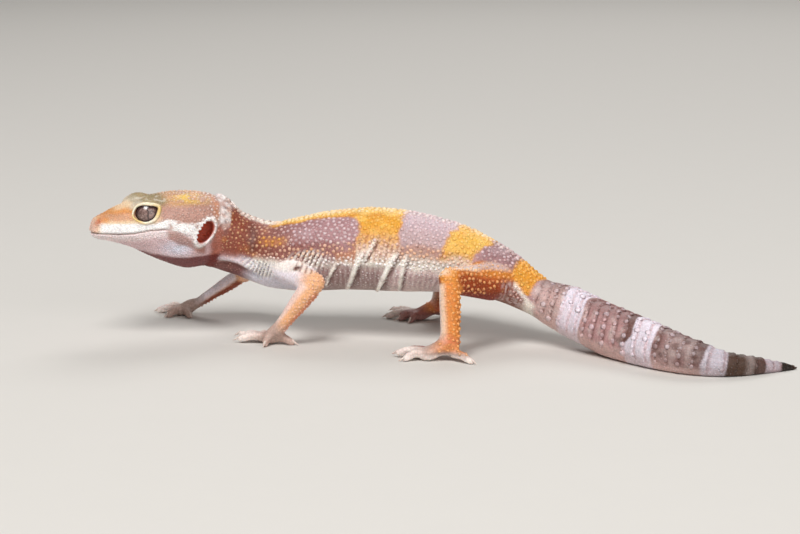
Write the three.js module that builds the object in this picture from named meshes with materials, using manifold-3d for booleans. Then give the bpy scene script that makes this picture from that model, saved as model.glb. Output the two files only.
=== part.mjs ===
// A standing leopard gecko, life size: a young animal in mid-step, head turned a little to its left
// and tail resting on the ground in a shallow curve.
//
// Millimetres, +Z up. The head points towards -X and the animal's left side towards -Y. The origin is
// the middle of the bounding box, at the level that the feet and the tail rest on.
//
// Every piece is a loft: closed rings along a path, with a width, a height above the path and a depth
// below it. Neighbouring pieces are trimmed by each other, with a parting gap between them.
import * as THREE from "three";
import { mergeVertices } from "three/addons/utils/BufferGeometryUtils.js";
import Module from "manifold-3d";

const wasm = await Module();
wasm.setup();

// ---------------------------------------------------------------- driving dimensions

const GAP = 0.3; // parting gap between neighbouring pieces
const SOLE_SINK = 0.12; // how deep feet and tail are sunk before the ground trims them flat
const CUTTER = 400; // edge of the boxes that trim a piece to one side of a plane
const CAP_ANGLES = [30, 62]; // degrees from the pole to each ring of a rounded end

const HEAD_TURN = 20; // degrees that the head is turned to the animal's left
const SNOUT = new THREE.Vector3(-57.6, 2.4, 20.1); // where the lips meet at the tip of the snout
const NAPE_CUT = { back: 24.2, slope: -0.12 }; // where the head ends, and how its plane leans
const JAW_END = 17.6; // from the tip of the snout to the back of the lower jaw
const JAW_SLAB = { deep: 20, wide: 30 }; // reach of the block that parts the jaw from the head

const EYE = { back: 10.3, side: 3.6, above: 3.65, radius: 2.75 }; // eyeball centre, from the snout
const EYE_AIM = { forward: 14, up: 6 }; // degrees that the eye's axis leaves the straight sideways line
const LID_OPENING = { length: 4.9, height: 3.1 };
const LID_THICKNESS = 0.62;
const EAR = { back: 20.4, above: 0, tall: 4.3, wide: 2.0, deep: 1.6, lean: 35 };
const NOSTRIL = { back: 1.1, side: 2.05, above: 2.35, radius: 0.36 };

// Head stations: back from the snout tip, height of the path, half width, height and depth from it.
const HEAD_STATIONS = [
  { name: "muzzle", back: 2.1, level: 0.3, wide: 3.15, up: 3.1, down: 1.75 },
  { name: "nose bridge", back: 4.6, level: 0.4, wide: 4.45, up: 4.15, down: 2.5 },
  { name: "front of eyes", back: 7.0, level: 0.5, wide: 5.35, up: 4.9, down: 3.4 },
  { name: "brow", back: 9.6, level: 0.6, wide: 6.15, up: 5.45, down: 4.5 },
  { name: "behind eyes", back: 12.4, level: 0.7, wide: 6.9, up: 6.0, down: 5.9 },
  { name: "crown", back: 15.6, level: 0.7, wide: 7.55, up: 6.45, down: 7.2 },
  { name: "jaw angle", back: 18.6, level: 0.6, wide: 7.95, up: 6.5, down: 8.0 },
  { name: "ear", back: 21.2, level: 0.4, wide: 7.45, up: 6.4, down: 7.6 },
  { name: "occiput", back: 24.2, level: 0.0, wide: 6.3, up: 5.8, down: 7.0 },
  { name: "inside neck", back: 27.0, level: -0.8, wide: 4.8, up: 4.4, down: 5.6 },
];
const HEAD_SQUARENESS = { over: 2.4, under: 1.9 }; // 2 is an ellipse, more is boxier

// The edge of the upper lip: back from the snout tip and height, ending behind the corner of the mouth.
const LIP_LINE = [
  [-3, 0],
  [0, 0],
  [4.7, -0.1],
  [7.5, 0.1],
  [10.3, 0.65],
  [13.2, 0.8],
  [15.4, 0.2],
  [JAW_END, -0.5],
];

// Spine stations, neck to tail tip: where the path runs, half width, height above and depth below it.
const SPINE_STATIONS = [
  { name: "in head", at: [-39.6, 8.8, 20.0], wide: 4.6, up: 4.0, down: 5.4 },
  { name: "nape", at: [-34.2, 10.6, 18.8], wide: 5.7, up: 5.5, down: 6.9 },
  { name: "neck", at: [-29.0, 11.0, 16.7], wide: 5.7, up: 5.3, down: 6.6 },
  { name: "shoulders", at: [-23.4, 9.9, 15.0], wide: 7.0, up: 6.1, down: 6.8 },
  { name: "chest", at: [-17.0, 8.2, 15.3], wide: 7.7, up: 7.3, down: 7.4 },
  { name: "ribs", at: [-10.0, 6.6, 16.2], wide: 8.3, up: 7.8, down: 7.6 },
  { name: "belly", at: [-3.0, 5.0, 16.5], wide: 8.6, up: 8.0, down: 7.9 },
  { name: "loin", at: [5.0, 3.2, 16.1], wide: 8.1, up: 7.3, down: 7.4 },
  { name: "flank", at: [12.0, 1.6, 15.0], wide: 7.2, up: 6.2, down: 6.2 },
  { name: "pelvis", at: [19.0, 0.0, 13.0], wide: 6.3, up: 4.45, down: 5.4 },
  { name: "vent", at: [25.2, -2.0, 9.7], wide: 4.8, up: 2.95, down: 4.4 },
  { name: "tail root", at: [30.5, -5.2, 7.0], wide: 4.6, up: 4.9, down: 4.4 },
  { name: "tail swell", at: [35.5, -9.6, 5.2], wide: 4.9, up: 4.6, down: 4.5 },
  { name: "tail bend", at: [40.2, -15.0, 4.2], wide: 4.6, up: 4.6, down: 4.2 + SOLE_SINK },
  { name: "tail middle", at: [45.0, -21.3, 3.6], wide: 4.1, up: 4.2, down: 3.6 + SOLE_SINK },
  { name: "tail taper", at: [50.4, -26.4, 2.9], wide: 3.4, up: 3.4, down: 2.9 + SOLE_SINK },
  { name: "tail curl", at: [56.5, -28.2, 2.1], wide: 2.5, up: 2.3, down: 2.1 + SOLE_SINK },
  { name: "tail thin", at: [62.3, -26.4, 1.45], wide: 1.75, up: 1.6, down: 1.45 + SOLE_SINK },
  { name: "tail end", at: [67.0, -24.4, 0.85], wide: 1.05, up: 0.95, down: 0.85 + SOLE_SINK },
  { name: "tail point", at: [69.6, -23.3, 0.4], wide: 0.4, up: 0.4, down: 0.4 + SOLE_SINK },
];
const ROUND = { over: 2, under: 2 };
const SPINE_SQUARENESS = { over: 2.15, under: 2.15 };
// Where the neck, trunk and tail part, as a place in the table above, counted in stations.
const SPINE_CUTS = { neck_trunk: 2.45, trunk_tail: 10.3, tail_upper: 13.2, tail_lower: 16.0 };

// Limb joints in space, and half thicknesses at each joint. Digits run from the inner to the outer
// one: `aim` is degrees from straight ahead towards the animal's outer side, `reach` runs from where
// the digit starts to the middle of its tip, `lift` holds the tip off the ground, and `start` is how
// far back towards the wrist the digit starts.
const LIMBS = [
  {
    side: "left",
    outward: -1,
    segments: ["upper_arm", "forearm", "hand"],
    root: [-22.6, 5.6, 13.2],
    bend: [-15.6, -4.8, 12.0],
    wrist: [-22.2, -3.4, 3.4],
    palm: [-24.0, -1.4, 1.3],
    thick: { root: 2.9, upper: 2.45, bend: 2.2, lower: 2.1, wrist: 1.5 },
    digits: [
      { aim: -66, reach: 4.9, lift: 0.2, start: 0 },
      { aim: -24, reach: 6.2, lift: 0.7, start: 0 },
      { aim: -4, reach: 5.6, lift: 0.35, start: 0 },
      { aim: 76, reach: 3.2, lift: 0, start: 0 },
      { aim: 158, reach: 4.4, lift: 0, start: 0 },
    ],
  },
  {
    side: "right",
    outward: 1,
    segments: ["upper_arm", "forearm", "hand"],
    root: [-24.6, 14.2, 13.0],
    bend: [-30.6, 22.0, 8.9],
    wrist: [-39.6, 25.0, 2.7],
    palm: [-42.9, 25.9, 1.25],
    thick: { root: 2.9, upper: 2.3, bend: 1.85, lower: 1.75, wrist: 1.2 },
    digits: [
      { aim: -118, reach: 3.7, lift: 0, start: 0 },
      { aim: -48, reach: 3.6, lift: 0, start: 0 },
      { aim: 26, reach: 5.2, lift: 0, start: 0 },
      { aim: 60, reach: 5.5, lift: 0.3, start: 0 },
      { aim: 108, reach: 4.2, lift: 0, start: 0 },
    ],
  },
  {
    side: "left",
    outward: -1,
    segments: ["thigh", "shank", "foot"],
    root: [20.6, -1.6, 12.0],
    bend: [8.8, -12.2, 14.2],
    wrist: [9.0, -15.8, 3.0],
    palm: [5.0, -15.4, 1.4],
    thick: { root: 3.9, upper: 3.1, bend: 2.25, lower: 2.15, wrist: 2.0 },
    digits: [
      { aim: -64, reach: 4.2, lift: 0, start: 0 },
      { aim: -44, reach: 5.3, lift: 0.2, start: 0 },
      { aim: -18, reach: 5.6, lift: 0.4, start: 0 },
      { aim: 20, reach: 4.3, lift: 0, start: 0 },
      { aim: 140, reach: 5.4, lift: 0, start: 0.85 },
    ],
  },
  {
    side: "right",
    outward: 1,
    segments: ["thigh", "shank", "foot"],
    root: [20.2, 3.4, 12.0],
    bend: [9.6, 16.0, 13.4],
    wrist: [7.4, 21.2, 2.8],
    palm: [3.8, 21.0, 1.35],
    thick: { root: 3.9, upper: 3.1, bend: 2.3, lower: 2.1, wrist: 1.75 },
    digits: [
      { aim: -62, reach: 3.6, lift: 0, start: 0 },
      { aim: -20, reach: 3.9, lift: 0, start: 0 },
      { aim: 10, reach: 6.2, lift: 0, start: 0 },
      { aim: 38, reach: 6.3, lift: 0.7, start: 0 },
      { aim: 120, reach: 5.0, lift: 0, start: 0.85 },
    ],
  },
];
const PALM = { widening: 0.55, up: 1.05, instep: 1.35 }; // beyond the wrist's half thickness; heights
const DIGIT = { base: 0.84, knuckle: 0.84, middle: 0.76, tip: 0.66 }; // half thicknesses along a digit
const ANKLE_CAP = 0.5; // how far the rounded end of a forearm or shank runs past the joint
const CLAW = { root: 0.27, tip: 0.09, inset: 0.25, reach: 1.15, arch: 0.12 };

// ---------------------------------------------------------------- finishes

function finish(color, roughness) {
  return new THREE.MeshStandardMaterial({ color, roughness, metalness: 0 });
}
const FINISHES = {
  head: finish(0xdcb083, 0.6),
  jaw: finish(0xe6d3cd, 0.6),
  trunk: finish(0xc9a4a0, 0.65),
  tail: finish(0xb58f8c, 0.6),
  arm: finish(0xe0aa80, 0.6),
  leg: finish(0xd8924b, 0.6),
  foot: finish(0xe2cfc6, 0.55),
  claw: finish(0xf0e4d4, 0.35),
  eye: finish(0x8f7b78, 0.08),
};

// ---------------------------------------------------------------- shape helpers

// A geometry as a manifold-3d solid, for joining and cutting.
function solid(geometry) {
  const bare = geometry.clone();
  for (const name of Object.keys(bare.attributes)) {
    if (name !== "position") bare.deleteAttribute(name);
  }
  const merged = mergeVertices(bare, 1e-4);
  return new wasm.Manifold(
    new wasm.Mesh({
      numProp: 3,
      vertProperties: merged.attributes.position.array,
      triVerts: new Uint32Array(merged.index.array),
    }),
  );
}

function geometryOf(piece) {
  const mesh = piece.getMesh();
  const geometry = new THREE.BufferGeometry();
  geometry.setAttribute("position", new THREE.BufferAttribute(mesh.vertProperties, 3));
  geometry.setIndex(new THREE.BufferAttribute(mesh.triVerts, 1));
  const faceted = geometry.toNonIndexed();
  faceted.computeVertexNormals();
  return faceted;
}

// A value between table rows, on a smooth curve through them. `place` counts in rows.
function between(rows, key, place) {
  const last = rows.length - 1;
  const i = Math.min(Math.floor(place), last - 1);
  const f = place - i;
  const value = (n) => rows[Math.max(0, Math.min(last, n))][key];
  const slopeIn = (value(i + 1) - value(i - 1)) / 2;
  const slopeOut = (value(i + 2) - value(i)) / 2;
  return (
    value(i) * (2 * f ** 3 - 3 * f ** 2 + 1) +
    slopeIn * (f ** 3 - 2 * f ** 2 + f) +
    value(i + 1) * (3 * f ** 2 - 2 * f ** 3) +
    slopeOut * (f ** 3 - f ** 2)
  );
}

// One ring of a loft. The section lies across `along`, and `top` is the direction that counts as up.
function ring(centre, along, top, size, sides, squareness) {
  const side = new THREE.Vector3().crossVectors(along, top).normalize();
  const up = new THREE.Vector3().crossVectors(side, along).normalize();
  const points = [];
  for (let k = 0; k < sides; k++) {
    const angle = (2 * Math.PI * k) / sides;
    const power = 2 / (Math.sin(angle) > 0 ? squareness.over : squareness.under);
    const across = Math.sign(Math.cos(angle)) * Math.abs(Math.cos(angle)) ** power;
    const rise = Math.sign(Math.sin(angle)) * Math.abs(Math.sin(angle)) ** power;
    const height = rise > 0 ? size.up : size.down;
    points.push(
      centre.clone().addScaledVector(side, across * size.wide).addScaledVector(up, rise * height),
    );
  }
  return points;
}

// A closed tube through table rows, each with at, wide, up and down, with a rounded cap on each end.
// `grow` makes it thicker all round, for trimming a neighbour with a gap.
function loft(rows, options) {
  const { sides, steps, squareness = ROUND, grow = 0, top = [0, 0, 1], caps } = options;
  const { capAngles = CAP_ANGLES } = options;
  const path = new THREE.CatmullRomCurve3(rows.map((row) => new THREE.Vector3(...row.at)));
  const last = rows.length - 1;
  const topDirection = new THREE.Vector3(...top);
  const sizeAt = (place) => ({
    wide: between(rows, "wide", place) + grow,
    up: between(rows, "up", place) + grow,
    down: between(rows, "down", place) + grow,
  });
  const capRings = (place, outwards) => {
    const centre = path.getPoint(place / last);
    const along = path.getTangent(place / last);
    const size = sizeAt(place);
    const natural = (size.wide + size.up + size.down) / 3;
    const length = caps ? caps[outwards < 0 ? 0 : 1] + grow : natural;
    const rings = capAngles.map((degrees) => {
      const turn = THREE.MathUtils.degToRad(degrees);
      const share = Math.sin(turn);
      const scaled = { wide: size.wide * share, up: size.up * share, down: size.down * share };
      const offset = outwards * length * Math.cos(turn);
      const middle = centre.clone().addScaledVector(along, offset);
      return ring(middle, along, topDirection, scaled, sides, squareness);
    });
    return { pole: centre.clone().addScaledVector(along, outwards * length), rings };
  };

  const start = capRings(0, -1);
  const end = capRings(last, 1);
  const body = [];
  for (let i = 0; i <= last * steps; i++) {
    const place = i / steps;
    const along = path.getTangent(place / last);
    const centre = path.getPoint(place / last);
    body.push(ring(centre, along, topDirection, sizeAt(place), sides, squareness));
  }
  return skinOver([...start.rings, ...body, ...end.rings.reverse()], start.pole, end.pole, sides);
}

// Joins rings, all with the same number of points, and two poles into one closed geometry.
function skinOver(rings, startPole, endPole, sides) {
  const points = [startPole, ...rings.flat(), endPole];
  const index = [];
  const at = (r, k) => 1 + r * sides + (k % sides);
  const endIndex = points.length - 1;
  for (let k = 0; k < sides; k++) {
    index.push(0, at(0, k), at(0, k + 1));
    index.push(endIndex, at(rings.length - 1, k + 1), at(rings.length - 1, k));
    for (let r = 0; r < rings.length - 1; r++) {
      index.push(at(r, k), at(r + 1, k), at(r + 1, k + 1));
      index.push(at(r, k), at(r + 1, k + 1), at(r, k + 1));
    }
  }
  const geometry = new THREE.BufferGeometry().setFromPoints(points);
  geometry.setIndex(index);
  return geometry;
}

// A box that takes away everything past a plane, and half the parting gap in front of it.
function beyond(at, along) {
  const box = new THREE.BoxGeometry(CUTTER, CUTTER, CUTTER);
  const turn = new THREE.Quaternion().setFromUnitVectors(
    new THREE.Vector3(1, 0, 0),
    along.clone().normalize(),
  );
  box.translate((CUTTER - GAP) / 2, 0, 0);
  box.applyQuaternion(turn);
  box.translate(at.x, at.y, at.z);
  return solid(box);
}

const ground = solid(new THREE.BoxGeometry(CUTTER, CUTTER, CUTTER).translate(0, 0, -CUTTER / 2));

// ---------------------------------------------------------------- head

// Head shapes are drawn with the snout tip at the origin, +X towards the tail and -Y to the left.
const headPlace = new THREE.Matrix4()
  .makeRotationZ(THREE.MathUtils.degToRad(HEAD_TURN))
  .setPosition(SNOUT);

function inHead(geometry) {
  return solid(geometry.applyMatrix4(headPlace));
}

const headLoft = inHead(
  loft(
    HEAD_STATIONS.map((row) => ({ ...row, at: [row.back, 0, row.level] })),
    { sides: 20, steps: 2, squareness: HEAD_SQUARENESS, caps: [HEAD_STATIONS[0].back, 3] },
  ),
);

// A shape drawn around +X, turned to look out of one eye. `outward` is -1 for the left eye.
function atEye(geometry, outward) {
  const lift = new THREE.Matrix4().makeRotationY(-THREE.MathUtils.degToRad(EYE_AIM.up));
  const swing = new THREE.Matrix4().makeRotationZ(
    outward * THREE.MathUtils.degToRad(90 + EYE_AIM.forward),
  );
  geometry.applyMatrix4(lift).applyMatrix4(swing);
  return inHead(geometry.translate(EYE.back, outward * EYE.side, EYE.above));
}

const eyeball = (radius) => new THREE.SphereGeometry(radius, 14, 8);

// The raised ring of brow and lids round an eyeball.
function orbit(outward) {
  const bulge = eyeball(EYE.radius + LID_THICKNESS).scale(1, 1.06, 0.96);
  return atEye(bulge, outward);
}

// The eyeball's socket and the almond-shaped opening between the lids.
function socket(outward) {
  const opening = new THREE.CylinderGeometry(1, 1, 2 * EYE.radius, 14);
  opening.rotateZ(Math.PI / 2);
  opening.scale(1, LID_OPENING.length / 2, LID_OPENING.height / 2);
  opening.translate(EYE.radius, 0, 0);
  return atEye(eyeball(EYE.radius + GAP), outward).add(atEye(opening, outward));
}

function earHole(outward) {
  const hole = new THREE.SphereGeometry(1, 10, 6).scale(EAR.wide / 2, EAR.deep, EAR.tall / 2);
  hole.rotateY(THREE.MathUtils.degToRad(EAR.lean));
  const station = HEAD_STATIONS.find((row) => row.name === "ear");
  return inHead(hole.translate(EAR.back, outward * station.wide, EAR.above));
}

function nostril(outward) {
  const pit = new THREE.SphereGeometry(NOSTRIL.radius, 6, 4);
  return inHead(pit.translate(NOSTRIL.back, outward * NOSTRIL.side, NOSTRIL.above));
}

// Everything below the lip line and in front of the jaw's end, raised and lengthened by `grow`.
function jawSpace(grow) {
  const outline = new THREE.Shape();
  const lip = new THREE.SplineCurve(LIP_LINE.map(([back, high]) => new THREE.Vector2(back, high)));
  const [first, ...rest] = lip.getPoints(12);
  outline.moveTo(first.x, first.y + grow);
  for (const point of rest) outline.lineTo(point.x, point.y + grow);
  outline.lineTo(JAW_END + grow, LIP_LINE.at(-1)[1] + grow);
  outline.lineTo(JAW_END + grow, -JAW_SLAB.deep);
  outline.lineTo(LIP_LINE[0][0], -JAW_SLAB.deep);
  const slab = new THREE.ExtrudeGeometry(outline, { depth: JAW_SLAB.wide, bevelEnabled: false });
  slab.translate(0, 0, -JAW_SLAB.wide / 2).rotateX(Math.PI / 2);
  return inHead(slab);
}

// ---------------------------------------------------------------- neck, trunk and tail

function spineLoft(grow) {
  const shape = { sides: 16, steps: 2, squareness: SPINE_SQUARENESS, caps: [2, 0.5], grow };
  return solid(loft(SPINE_STATIONS, shape));
}

const spinePath = new THREE.CatmullRomCurve3(
  SPINE_STATIONS.map((row) => new THREE.Vector3(...row.at)),
);

function spinePlane(place) {
  const share = place / (SPINE_STATIONS.length - 1);
  return { at: spinePath.getPoint(share), along: spinePath.getTangent(share) };
}

function napePlane() {
  const at = new THREE.Vector3(NAPE_CUT.back, 0, 0).applyMatrix4(headPlace);
  const along = new THREE.Vector3(1, 0, NAPE_CUT.slope).transformDirection(headPlace);
  return { at, along };
}

// The stretch of `flesh` between two planes; either may be left out.
function stretch(flesh, front, rear) {
  let piece = flesh;
  if (front) piece = piece.subtract(beyond(front.at, front.along.clone().negate()));
  if (rear) piece = piece.subtract(beyond(rear.at, rear.along));
  return piece;
}

// ---------------------------------------------------------------- limbs

const even = (at, thick) => ({ at, wide: thick, up: thick, down: thick });
const midway = (a, b, share) => a.map((value, i) => value + (b[i] - value) * share);

function upperLimb(limb, grow) {
  const { root, bend, thick } = limb;
  const rows = [
    even(root, thick.root),
    even(midway(root, bend, 0.5), thick.upper),
    even(bend, thick.bend),
  ];
  return solid(loft(rows, { sides: 10, steps: 2, grow }));
}

function lowerLimb(limb, grow) {
  const { bend, wrist, thick } = limb;
  const rows = [
    even(bend, thick.bend * 0.98),
    even(midway(bend, wrist, 0.35), thick.lower),
    even(wrist, thick.wrist),
  ];
  const caps = [thick.bend, ANKLE_CAP];
  return solid(loft(rows, { sides: 10, steps: 2, grow, top: [-1, 0, 0.2], caps }));
}

function digitDirection(limb, { aim }) {
  const turn = THREE.MathUtils.degToRad(aim);
  return new THREE.Vector3(-Math.cos(turn), limb.outward * Math.sin(turn), 0);
}

// The middle of a digit's fleshy tip, just above the ground.
function digitTip(limb, toe) {
  const [x, y] = midway(limb.palm, limb.wrist, toe.start);
  const tip = new THREE.Vector3(x, y, DIGIT.tip - SOLE_SINK / 2 + toe.lift);
  return tip.addScaledVector(digitDirection(limb, toe), toe.reach);
}

function digit(limb, toe, grow) {
  const [x, y] = midway(limb.palm, limb.wrist, toe.start);
  const z = limb.palm[2];
  const tip = digitTip(limb, toe);
  const along = (share, height) => [x + (tip.x - x) * share, y + (tip.y - y) * share, height];
  const rows = [
    even(along(0.25, z), DIGIT.base),
    even(along(0.64, z + toe.lift / 2), DIGIT.knuckle),
    even(along(0.86, (z + tip.z) / 2), DIGIT.middle),
    even(along(1, tip.z), DIGIT.tip),
  ];
  return solid(loft(rows, { sides: 6, steps: 1, capAngles: [45], grow }));
}

function paw(limb, grow) {
  const { wrist, palm, thick } = limb;
  const rows = [
    { at: wrist, wide: thick.wrist, up: thick.wrist, down: thick.wrist },
    {
      at: midway(wrist, palm, 0.55),
      wide: thick.wrist + PALM.widening / 2,
      up: PALM.instep,
      down: PALM.instep,
    },
    { at: palm, wide: thick.wrist + PALM.widening, up: PALM.up, down: palm[2] + SOLE_SINK },
  ];
  let piece = solid(loft(rows, { sides: 8, steps: 2, capAngles: [45], grow }));
  for (const toe of limb.digits) piece = piece.add(digit(limb, toe, grow));
  return piece;
}

function claw(limb, toe) {
  const tip = digitTip(limb, toe);
  const direction = digitDirection(limb, toe);
  const out = (share, height) => tip.clone().addScaledVector(direction, share).setZ(height).toArray();
  const rows = [
    even(out(CLAW.inset, tip.z + CLAW.arch), CLAW.root),
    even(out(CLAW.inset + CLAW.reach / 2, tip.z + CLAW.arch), CLAW.root * 0.8),
    even(out(CLAW.inset + CLAW.reach, toe.lift + CLAW.tip * 1.6), CLAW.tip),
  ];
  return solid(loft(rows, { sides: 4, steps: 1, capAngles: [45] }));
}

// ---------------------------------------------------------------- assembly

const gecko = new THREE.Group();

function addPiece(name, piece, material) {
  const mesh = new THREE.Mesh(geometryOf(piece), material);
  mesh.name = name;
  gecko.add(mesh);
}

function buildHeadAndBody() {
  const nape = napePlane();
  const planes = Object.fromEntries(
    Object.entries(SPINE_CUTS).map(([name, place]) => [name, spinePlane(place)]),
  );
  const flesh = headLoft.add(spineLoft(0)).subtract(ground);

  let skull = stretch(flesh, null, nape);
  for (const outward of [-1, 1]) skull = skull.add(orbit(outward));
  for (const outward of [-1, 1]) {
    skull = skull.subtract(socket(outward)).subtract(earHole(outward)).subtract(nostril(outward));
  }
  const rest = stretch(flesh, nape, null);
  addPiece("head", skull.subtract(jawSpace(GAP)), FINISHES.head);
  addPiece("lower_jaw", skull.intersect(jawSpace(0)), FINISHES.jaw);
  addPiece("neck", stretch(rest, null, planes.neck_trunk), FINISHES.trunk);
  addPiece("trunk", stretch(rest, planes.neck_trunk, planes.trunk_tail), FINISHES.trunk);
  addPiece("tail_base", stretch(rest, planes.trunk_tail, planes.tail_upper), FINISHES.tail);
  addPiece("tail_middle", stretch(rest, planes.tail_upper, planes.tail_lower), FINISHES.tail);
  addPiece("tail_tip", stretch(rest, planes.tail_lower, null), FINISHES.tail);
}

function buildEyes() {
  addPiece("eye_left", atEye(eyeball(EYE.radius), -1), FINISHES.eye);
  addPiece("eye_right", atEye(eyeball(EYE.radius), 1), FINISHES.eye);
}

function buildLimb(limb, trunkTrim) {
  const [upper, lower, end] = limb.segments;
  const limbFinish = upper === "thigh" ? FINISHES.leg : FINISHES.arm;
  const grownUpper = upperLimb(limb, GAP);
  const grownLower = lowerLimb(limb, GAP);
  const grownPaw = paw(limb, GAP);
  addPiece(`${upper}_${limb.side}`, upperLimb(limb, 0).subtract(trunkTrim), limbFinish);
  addPiece(`${lower}_${limb.side}`, lowerLimb(limb, 0).subtract(grownUpper), limbFinish);
  const trimmedPaw = paw(limb, 0).subtract(grownLower).subtract(ground);
  addPiece(`${end}_${limb.side}`, trimmedPaw, FINISHES.foot);
  limb.digits.forEach((toe, i) => {
    const name = `claw_${end}_${limb.side}_${i + 1}`;
    addPiece(name, claw(limb, toe).subtract(grownPaw), FINISHES.claw);
  });
}

buildHeadAndBody();
buildEyes();
const trunkTrim = spineLoft(GAP);
for (const limb of LIMBS) buildLimb(limb, trunkTrim);

// The origin goes to the middle of the bounding box, at ground level.
const extent = new THREE.Box3().setFromObject(gecko);
const middle = extent.getCenter(new THREE.Vector3());
gecko.position.set(-middle.x, -middle.y, -extent.min.z);

export default gecko;
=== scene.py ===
"""A young leopard gecko, life size, dressed over its CAD solids.

One skin stands for every node of flesh. Scales are small solid domes over it, painted with the colour of
the skin at their roots. Eyeballs, lids and claws are pieces of their own. The shape functions count in
millimetres and every Blender object is in metres.

Three sets of coordinates say where things are on the animal:
- head: back from the tip of the snout, side towards the animal's left, above the lips at the snout;
- spine: along from the back of the head to the tip of the tail, around from the middle of the back;
- limb: share of the way along a segment, and the directions around its axis.
"""
import math

import bmesh
import bpy
import numpy as np
from bpy.props import FloatProperty, FloatVectorProperty, IntProperty, PointerProperty
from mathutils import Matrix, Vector
from mathutils.bvhtree import BVHTree
from mathutils.kdtree import KDTree


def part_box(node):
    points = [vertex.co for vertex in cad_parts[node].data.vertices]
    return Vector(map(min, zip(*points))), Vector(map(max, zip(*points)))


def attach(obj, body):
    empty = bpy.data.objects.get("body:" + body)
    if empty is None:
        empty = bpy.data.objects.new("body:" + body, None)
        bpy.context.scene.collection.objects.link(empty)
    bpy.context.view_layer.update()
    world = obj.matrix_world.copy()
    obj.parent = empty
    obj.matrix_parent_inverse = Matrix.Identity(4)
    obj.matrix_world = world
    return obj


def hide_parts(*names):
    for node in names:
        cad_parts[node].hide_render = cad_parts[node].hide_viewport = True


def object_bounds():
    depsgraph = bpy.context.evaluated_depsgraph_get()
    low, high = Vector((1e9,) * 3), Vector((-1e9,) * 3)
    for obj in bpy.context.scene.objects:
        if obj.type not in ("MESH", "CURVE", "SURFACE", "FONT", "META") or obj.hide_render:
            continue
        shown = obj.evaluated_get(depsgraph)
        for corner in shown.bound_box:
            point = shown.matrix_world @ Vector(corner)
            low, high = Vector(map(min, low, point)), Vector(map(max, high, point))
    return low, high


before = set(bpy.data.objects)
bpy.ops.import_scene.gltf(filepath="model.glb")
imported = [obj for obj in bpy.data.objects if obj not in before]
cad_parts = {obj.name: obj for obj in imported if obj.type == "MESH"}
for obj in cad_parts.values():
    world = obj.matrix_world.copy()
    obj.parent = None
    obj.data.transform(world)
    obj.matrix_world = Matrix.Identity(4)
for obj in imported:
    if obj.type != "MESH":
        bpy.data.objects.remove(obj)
CAD_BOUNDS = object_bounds()

bl_info = {
    "name": "Leopard gecko model",
    "version": (1, 0, 0),
    "blender": (4, 5, 0),
    "location": "3D View > Sidebar > Gecko",
    "description": "Dresses the solids of a leopard gecko in skin, scales, eyes and claws",
    "category": "Object",
}

MM = 0.001
BODY = "root"
SPINE_NODES = ("neck", "trunk", "tail_base", "tail_middle", "tail_tip")
HEAD_NODES = ("head", "lower_jaw")
EYE_NODES = ("eye_left", "eye_right")
ARM_SEGMENTS = ("upper_arm", "forearm", "hand")
LEG_SEGMENTS = ("thigh", "shank", "foot")
SIDES = ("left", "right")
LIMB_NODES = tuple(f"{segment}_{side}" for side in SIDES for segment in ARM_SEGMENTS + LEG_SEGMENTS)
FLESH_NODES = HEAD_NODES + SPINE_NODES + LIMB_NODES
CLAW_NODES = tuple(sorted(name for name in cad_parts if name.startswith("claw_")))


# ---------------------------------------------------------------- small helpers


def linear(colour):
    """A colour such as "#c5a0a4" as linear red, green and blue."""
    parts = [int(colour[i : i + 2], 16) / 255 for i in (1, 3, 5)]
    return tuple(c / 12.92 if c <= 0.04045 else ((c + 0.055) / 1.055) ** 2.4 for c in parts)


def smooth_step(value, start, end):
    """0 where value is before start, 1 where it is past end, and a smooth rise between them."""
    share = np.clip((value - start) / (end - start), 0, 1)
    return share * share * (3 - 2 * share)


def fall(value, start, end):
    """1 where value is before start, 0 where it is past end, and a smooth fall between them."""
    return 1 - smooth_step(value, start, end)


def window(value, low, high, soft):
    """1 between low and high, with edges that are soft wide."""
    half = soft / 2
    return smooth_step(value, low - half, low + half) * fall(value, high - half, high + half)


def bump_at(value, middle, reach):
    """A bell of height 1 around middle."""
    return np.exp(-(((value - middle) / reach) ** 2))


def stripes(phase):
    """Waves from -1 to 1, one for each whole number that the phase passes."""
    return np.sin(2 * math.pi * phase)


def unit(vectors):
    """Vectors at length 1, along the last axis."""
    return vectors / np.maximum(np.linalg.norm(vectors, axis=-1, keepdims=True), 1e-12)


def cloud(points, size, seed):
    """Smooth noise from -1 to 1 at each point, with lumps about size across."""
    grid = points / size + 97.3 * seed
    cell = np.floor(grid).astype(np.int64)
    share = grid - cell
    share = share * share * (3 - 2 * share)
    total = np.zeros(len(points))
    for corner in range(8):
        step = np.array([corner & 1, corner >> 1 & 1, corner >> 2 & 1])
        x, y, z = (cell + step).T
        mixed = (x * 374761393 + y * 668265263 + z * 2147483647 + seed * 1274126177) & 0xFFFFFFFF
        mixed = ((mixed ^ mixed >> 13) * 1274126177) & 0xFFFFFFFF
        value = (mixed >> 8 & 0xFFFF) / 32767.5 - 1
        total += value * np.where(step, share, 1 - share).prod(1)
    return total


def numbers(collection, name, width, kind=np.float64):
    """One property of every item in a Blender collection, as an array."""
    flat = np.empty(len(collection) * width, kind)
    collection.foreach_get(name, flat)
    return flat.reshape(-1, width) if width > 1 else flat


def points_of(mesh):
    """A mesh's vertices in millimetres."""
    return numbers(mesh.vertices, "co", 3) / MM


def triangles_of(mesh):
    """The corners of a mesh's triangles, and their areas in square millimetres."""
    mesh.calc_loop_triangles()
    faces = mesh.loop_triangles
    return numbers(faces, "vertices", 3, np.int32), numbers(faces, "area", 1) / MM**2


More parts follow.
